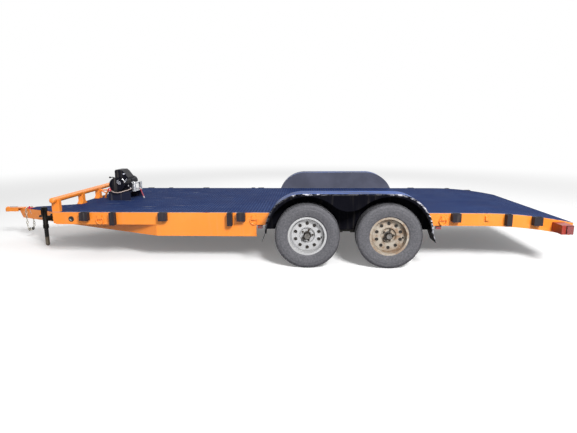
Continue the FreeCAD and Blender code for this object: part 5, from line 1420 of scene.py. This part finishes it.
@dataclass
class Wheels(Assembly):
    """Four wheels: tyre, rim, hub, lug nuts and valve."""

    lugs: int = 5
    lug_circle: float = 0.05715
    vents: int = 10
    vent_circle: float = 0.128
    vent: float = 0.0225
    block_count: int = 76
    rows: tuple[float, ...] = (-0.064, -0.0225, 0.0225, 0.064)
    profile: tuple[tuple[float, float], ...] = (
        (0.072, 0.196), (0.080, 0.205), (0.0845, 0.2085), (0.0865, 0.213), (0.0885, 0.2165), (0.0915, 0.2185), (0.0925, 0.2215),
        (0.0915, 0.2245), (0.0925, 0.228), (0.0955, 0.240), (0.0985, 0.254), (0.1008, 0.270), (0.1013, 0.284), (0.1013, 0.2865),
        (0.1001, 0.2885), (0.0996, 0.298), (0.0990, 0.3005), (0.0998, 0.302), (0.0985, 0.308), (0.0960, 0.316), (0.0925, 0.3235),
        (0.0870, 0.331), (0.0800, 0.3362), (0.0700, 0.3385))

    def build(self) -> None:
        """Builds every wheel."""
        for end in End:
            for side in Side:
                self.wheel(end, side)

    def wheel(self, end: End, side: Side) -> None:
        """One wheel.

        Args:
            end: Its axle.
            side: Its side.
        """
        tag = f"{end.value}_{side.word}"
        body = f"wheel_{tag}"
        low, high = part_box(f"tyre_{tag}")
        centre = Vector([(low[i] + high[i]) / 2 for i in range(3)])
        outward = side.value
        self.dress(self.finishes.silver if end is End.FRONT else self.finishes.rusty, f"rim_{tag}")
        self.dress(self.finishes.hub, f"hub_{tag}")
        half = list(self.profile)
        outer = [(along, radius) for along, radius in half]
        inner = [(-along, radius) for along, radius in reversed(half)]
        ring = outer + inner + [(-0.066, 0.193), (0.066, 0.193), outer[0]]
        carcass = Shaper().turned(ring, centre, Axis.Y, 120).piece(f"tyre_carcass_{tag}", self.finishes.tyre, 50.0)
        self.settle(carcass, self.finishes.tyre, body, [f"tyre_{tag}"])
        for number, row in enumerate(self.rows):
            wide = 0.019 if abs(row) < 0.05 else 0.0205
            block = Shaper().block((-0.005, -wide, -0.0125), (0.0, wide, 0.0125), 0.0012, 1, Matrix.Rotation(0.16 * (-1) ** number, 4, "X"))
            piece = block.piece(f"tread_row_{number}_{tag}", self.finishes.tyre)
            Repeat.AROUND.apply(piece, Count=self.block_count, Radius=(high[2] - low[2]) / 2 - 0.0004,
                                Centre=tuple(centre + Vector((0, row, 0))), Start=0.02 * number)
            self.settle(piece, self.finishes.tyre, body)
        self.details(end, side, centre, outward, body, tag)

    def details(self, end: End, side: Side, centre: Vector, outward: int, body: str, tag: str) -> None:
        """Grease round the cap, lips round the vents with dark discs of painted shade behind them, and the valve stem.

        Args:
            end: The wheel's axle.
            side: Its side.
            centre: Its middle.
            outward: The sign of Y away from the trailer.
            body: The body it rides on.
            tag: The wheel's name.
        """
        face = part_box(f"rim_{tag}")
        edge = face[0][1] if side is Side.LEFT else face[1][1]
        valve_at = centre + Vector((0.150, 0, -0.02))
        stem = [(0.0, 0.0), (0.0, 0.0075), (0.010, 0.0075), (0.014, 0.0045), (0.030, 0.0042), (0.030, 0.0052), (0.040, 0.0052), (0.042, 0.0)]
        valve = Shaper().turned([(outward * (a - 0.055), r) for a, r in stem], (valve_at[0], edge, valve_at[2]), Axis.Y, 14)
        self.settle(valve.piece(f"valve_{tag}", self.finishes.gasket), self.finishes.gasket, body)
        node = f"rim_{tag}"
        finish = self.finishes.silver if end is End.FRONT else self.finishes.rusty
        spoke = self.touch(node, (centre[0] + self.vent_circle * math.cos(math.radians(35)), outward * 2.0,
                                  centre[2] + self.vent_circle * math.sin(math.radians(35))), (0.0, -outward, 0.0))
        lip_at = abs(spoke[1]) if abs(spoke[1]) < 1.9 else abs(edge)
        ring = [(self.vent * math.cos(t), 0.0, self.vent * math.sin(t)) for t in (2 * math.pi * step / 28 for step in range(28))]
        lips = Shaper().tube(ring, 0.0026, 8, closed=True).piece(f"vent_lips_{tag}", finish)
        turn = math.radians(18)
        Repeat.AROUND.apply(lips, Count=self.vents, Radius=self.vent_circle, Centre=(centre[0], outward * lip_at, centre[2]), Start=turn)
        self.settle(lips, finish, body)
        # painted shade: dark discs just behind each vent make the holes look dark
        shade = Shaper().turned([(0.0, 0.0), (0.0, self.vent - 0.002), (0.0015, self.vent - 0.002), (0.0015, 0.0)], (0.0, 0.0, 0.0), Axis.Y, 28)
        vent_shade_discs = shade.piece(f"vent_wells_{tag}", self.finishes.grease)
        Repeat.AROUND.apply(vent_shade_discs, Count=self.vents, Radius=self.vent_circle, Centre=(centre[0], outward * (lip_at - 0.001), centre[2]), Start=turn)
        self.settle(vent_shade_discs, self.finishes.grease, body)
        seat = self.touch(node, (centre[0] + self.lug_circle * math.cos(math.radians(36)), outward * 2.0,
                                 centre[2] + self.lug_circle * math.sin(math.radians(36))), (0.0, -outward, 0.0))
        seat_at = abs(seat[1]) if abs(seat[1]) < 1.9 else abs(edge)
        outline = [(-0.001, 0.0), (-0.001, 0.0125), (0.004, 0.0125), (0.006, 0.0108), (0.019, 0.0104), (0.022, 0.007), (0.022, 0.0)]
        nut = Shaper().turned([(outward * a, r) for a, r in outline], (0.0, 0.0, 0.0), Axis.Y, 6).piece(f"lug_nuts_{tag}", self.finishes.nut)
        Repeat.AROUND.apply(nut, Count=self.lugs, Radius=self.lug_circle, Centre=(centre[0], outward * seat_at, centre[2]), Start=0.0)
        self.settle(nut, self.finishes.nut, body)
        hub_low, hub_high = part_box(f"hub_{tag}")
        cap_end = hub_high[1] if side is Side.RIGHT else hub_low[1]
        collar = [(-0.034, 0.0345), (-0.034, 0.041), (-0.028, 0.042), (-0.020, 0.040), (-0.012, 0.037), (-0.010, 0.0345), (-0.034, 0.0345)]
        grease = Shaper().turned([(outward * a, r) for a, r in collar], (centre[0], cap_end, centre[2]), Axis.Y, 40)
        blob = centre + Vector((-0.030, 0.0, -0.026))
        grease.turned([(outward * a, r) for a, r in ((-0.034, 0.0), (-0.034, 0.020), (-0.026, 0.021), (-0.016, 0.016), (-0.012, 0.0))],
                      (blob[0], cap_end, blob[2]), Axis.Y, 18)
        self.settle(grease.piece(f"cap_grease_{tag}", self.finishes.grease), self.finishes.grease, body)
        step = [(0.088 * math.cos(t), 0.0, 0.088 * math.sin(t)) for t in (2 * math.pi * turn_step / 72 for turn_step in range(72))]
        bead = Shaper().tube([Vector(spot) + Vector((centre[0], outward * (lip_at - 0.001), centre[2])) for spot in step], 0.0032, 8, closed=True)
        self.settle(bead.piece(f"disc_ring_{tag}", finish), finish, body)


@dataclass
class Lights(Assembly):
    """Tail lamps in their boxes and marker lamps."""

    marker: float = 0.054
    side_lamp_front: float = 3.292

    def build(self) -> None:
        """Dresses the lamps."""
        self.dress(self.finishes.lens, "tail_lamps", "marker_lamps")
        low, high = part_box("marker_lamps")
        brackets, gaskets = Shaper(), Shaper()
        for side in Side:
            reach = sorted((side.value * (high[1] + 0.0015), side.value * (high[1] - 0.030)))
            for start, stop in ((low[0] - 0.004, low[0] + self.marker + 0.004), (high[0] - self.marker - 0.004, high[0] + 0.004)):
                brackets.block((start, reach[0], high[2] - 0.004), (stop, reach[1], high[2] + 0.001), 0.0015)
            box_low, box_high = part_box("light_boxes")
            wall = sorted((side.value * (box_high[1] - 0.003), side.value * (box_high[1] + 0.004)))
            gaskets.block((self.side_lamp_front - 0.005, wall[0], box_low[2] + 0.005), (box_high[0] - 0.001, wall[1], box_high[2] - 0.003), 0.003)
        self.settle(brackets.piece("marker_brackets", self.finishes.gasket), self.finishes.gasket)
        self.settle(gaskets.piece("side_lamp_gaskets", self.finishes.gasket), self.finishes.gasket)


# ---------------------------------------------------------------------------------------
# Studio
# ---------------------------------------------------------------------------------------


@dataclass
class Studio:
    """Camera, lamps, floor and backdrop."""

    position: Point = (0.6347, -5.8054, 1.4457)
    yaw: float = -2.470
    pitch: float = 11.027
    roll: float = -0.273
    lens: float = 27.79
    sky: float = 0.42
    key_power: float = 1550.0
    fill_power: float = 120.0
    floor_half: float = 60.0
    floor_colour: Colour = (0.93, 0.93, 0.93)
    floor_bounce: Colour = (0.16, 0.16, 0.17)
    floor_lift: float = 0.16
    lamps: list[bpy.types.Object] = field(default_factory=list)

    def build(self) -> None:
        """Builds the studio."""
        self.camera()
        self.world()
        self.floor()
        self.lamp("key_lamp", (4.5, -9.0, 7.0), (0.0, 0.0, 0.4), 2.6, self.key_power)
        self.lamp("fill_lamp", (-2.0, -9.5, 3.2), (0.0, 0.0, 0.4), 6.0, self.fill_power)
        self.lamp("rim_lamp", (1.0, 6.0, 5.0), (0.2, 0.0, 0.5), 6.0, self.fill_power)
        scene = bpy.context.scene
        scene.view_settings.view_transform = "Standard"
        log.info("studio ready")

    def camera(self) -> None:
        """Puts the camera at its place and angle."""
        yaw, pitch, roll = (math.radians(angle) for angle in (self.yaw, self.pitch, self.roll))
        ahead = Vector((math.sin(yaw) * math.cos(pitch), math.cos(yaw) * math.cos(pitch), -math.sin(pitch)))
        right = Vector((math.cos(yaw), -math.sin(yaw), 0.0))
        up = right.cross(ahead)
        across = right * math.cos(roll) + up * math.sin(roll)
        raised = up * math.cos(roll) - right * math.sin(roll)
        data = bpy.data.cameras.new("camera")
        data.sensor_width = 36.0
        data.lens = self.lens
        data.clip_end = 500.0
        camera = bpy.data.objects.new("camera", data)
        turn = Matrix((across, raised, -ahead)).transposed().to_4x4()
        camera.matrix_world = Matrix.Translation(Vector(self.position)) @ turn
        bpy.context.collection.objects.link(camera)
        bpy.context.scene.camera = camera

    def world(self) -> None:
        """A plain sky that is white where the camera, metal or glass sees it."""
        world = bpy.data.worlds.new("studio_sky")
        bpy.context.scene.world = world
        world.use_nodes = True
        tree = world.node_tree
        tree.nodes.clear()
        weave = Weave(tree)
        path = weave.add("ShaderNodeLightPath").outputs
        seen = weave.math("MAXIMUM", path["Is Camera Ray"], weave.math("MAXIMUM", path["Is Glossy Ray"], path["Is Transmission Ray"]))
        strength = weave.math("ADD", weave.math("MULTIPLY", seen, 1.0 - self.sky), self.sky)
        shade = weave.add("ShaderNodeBackground", {0: (1.0, 1.0, 1.0), 1: strength})
        weave.add("ShaderNodeOutputWorld", {0: shade.outputs[0]})

    def floor(self) -> None:
        """A wide pale floor that fades into the backdrop far away."""
        data = bpy.data.meshes.new("floor")
        half = self.floor_half
        data.from_pydata([(-half, -half, 0), (half, -half, 0), (half, half, 0), (-half, half, 0)], [], [(0, 1, 2, 3)])
        floor = bpy.data.objects.new("floor", data)
        bpy.context.collection.objects.link(floor)
        material = bpy.data.materials.new("pale_floor")
        material.use_nodes = True
        material.node_tree.nodes.clear()
        weave = Weave(material.node_tree)
        place = weave.add("ShaderNodeTexCoord").outputs["Object"]
        reach = weave.add("ShaderNodeVectorMath", {0: place}, operation="LENGTH").outputs["Value"]
        path = weave.add("ShaderNodeLightPath").outputs
        seen = weave.math("MAXIMUM", path["Is Camera Ray"], weave.math("MAXIMUM", path["Is Glossy Ray"], path["Is Transmission Ray"]))
        fade = weave.math("MULTIPLY", weave.band(reach, 5.0, 14.0), seen)
        tone = weave.mix(seen, self.floor_bounce, self.floor_colour)
        matt = weave.add("ShaderNodeBsdfDiffuse", {0: tone})
        lift = weave.add("ShaderNodeEmission", {0: (1.0, 1.0, 1.0), 1: weave.math("MULTIPLY", seen, self.floor_lift)})
        near = weave.add("ShaderNodeAddShader", {0: matt.outputs[0], 1: lift.outputs[0]})
        glow = weave.add("ShaderNodeEmission", {0: (1.0, 1.0, 1.0), 1: 1.0})
        both = weave.add("ShaderNodeMixShader", {0: fade, 1: near.outputs[0], 2: glow.outputs[0]})
        weave.add("ShaderNodeOutputMaterial", {0: both.outputs[0]})
        data.materials.append(material)

    def lamp(self, name: str, place: Point, aim: Point, size: float, power: float) -> None:
        """A soft square lamp.

        Args:
            name: Its name.
            place: Where it hangs.
            aim: What it points at.
            size: Its side in metres.
            power: Its power in watts.
        """
        data = bpy.data.lights.new(name, "AREA")
        data.size = size
        data.energy = power
        lamp = bpy.data.objects.new(name, data)
        lamp.location = place
        lamp.rotation_euler = (Vector(aim) - Vector(place)).to_track_quat("-Z", "Y").to_euler()
        bpy.context.collection.objects.link(lamp)
        self.lamps.append(lamp)


def main() -> None:
    """Builds the studio and the trailer."""
    logging.basicConfig(level=logging.INFO, format="%(name)s: %(message)s")
    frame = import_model()
    Studio().build()
    finishes = Finishes()
    for kind in (Deck, Frame, Headboard, Tongue, Jack, Winch, Fenders, RunningGear, Wheels, Lights):
        kind(frame, finishes).build()
        log.info("%s done", kind.__name__)


if __name__ == "__main__":
    main()
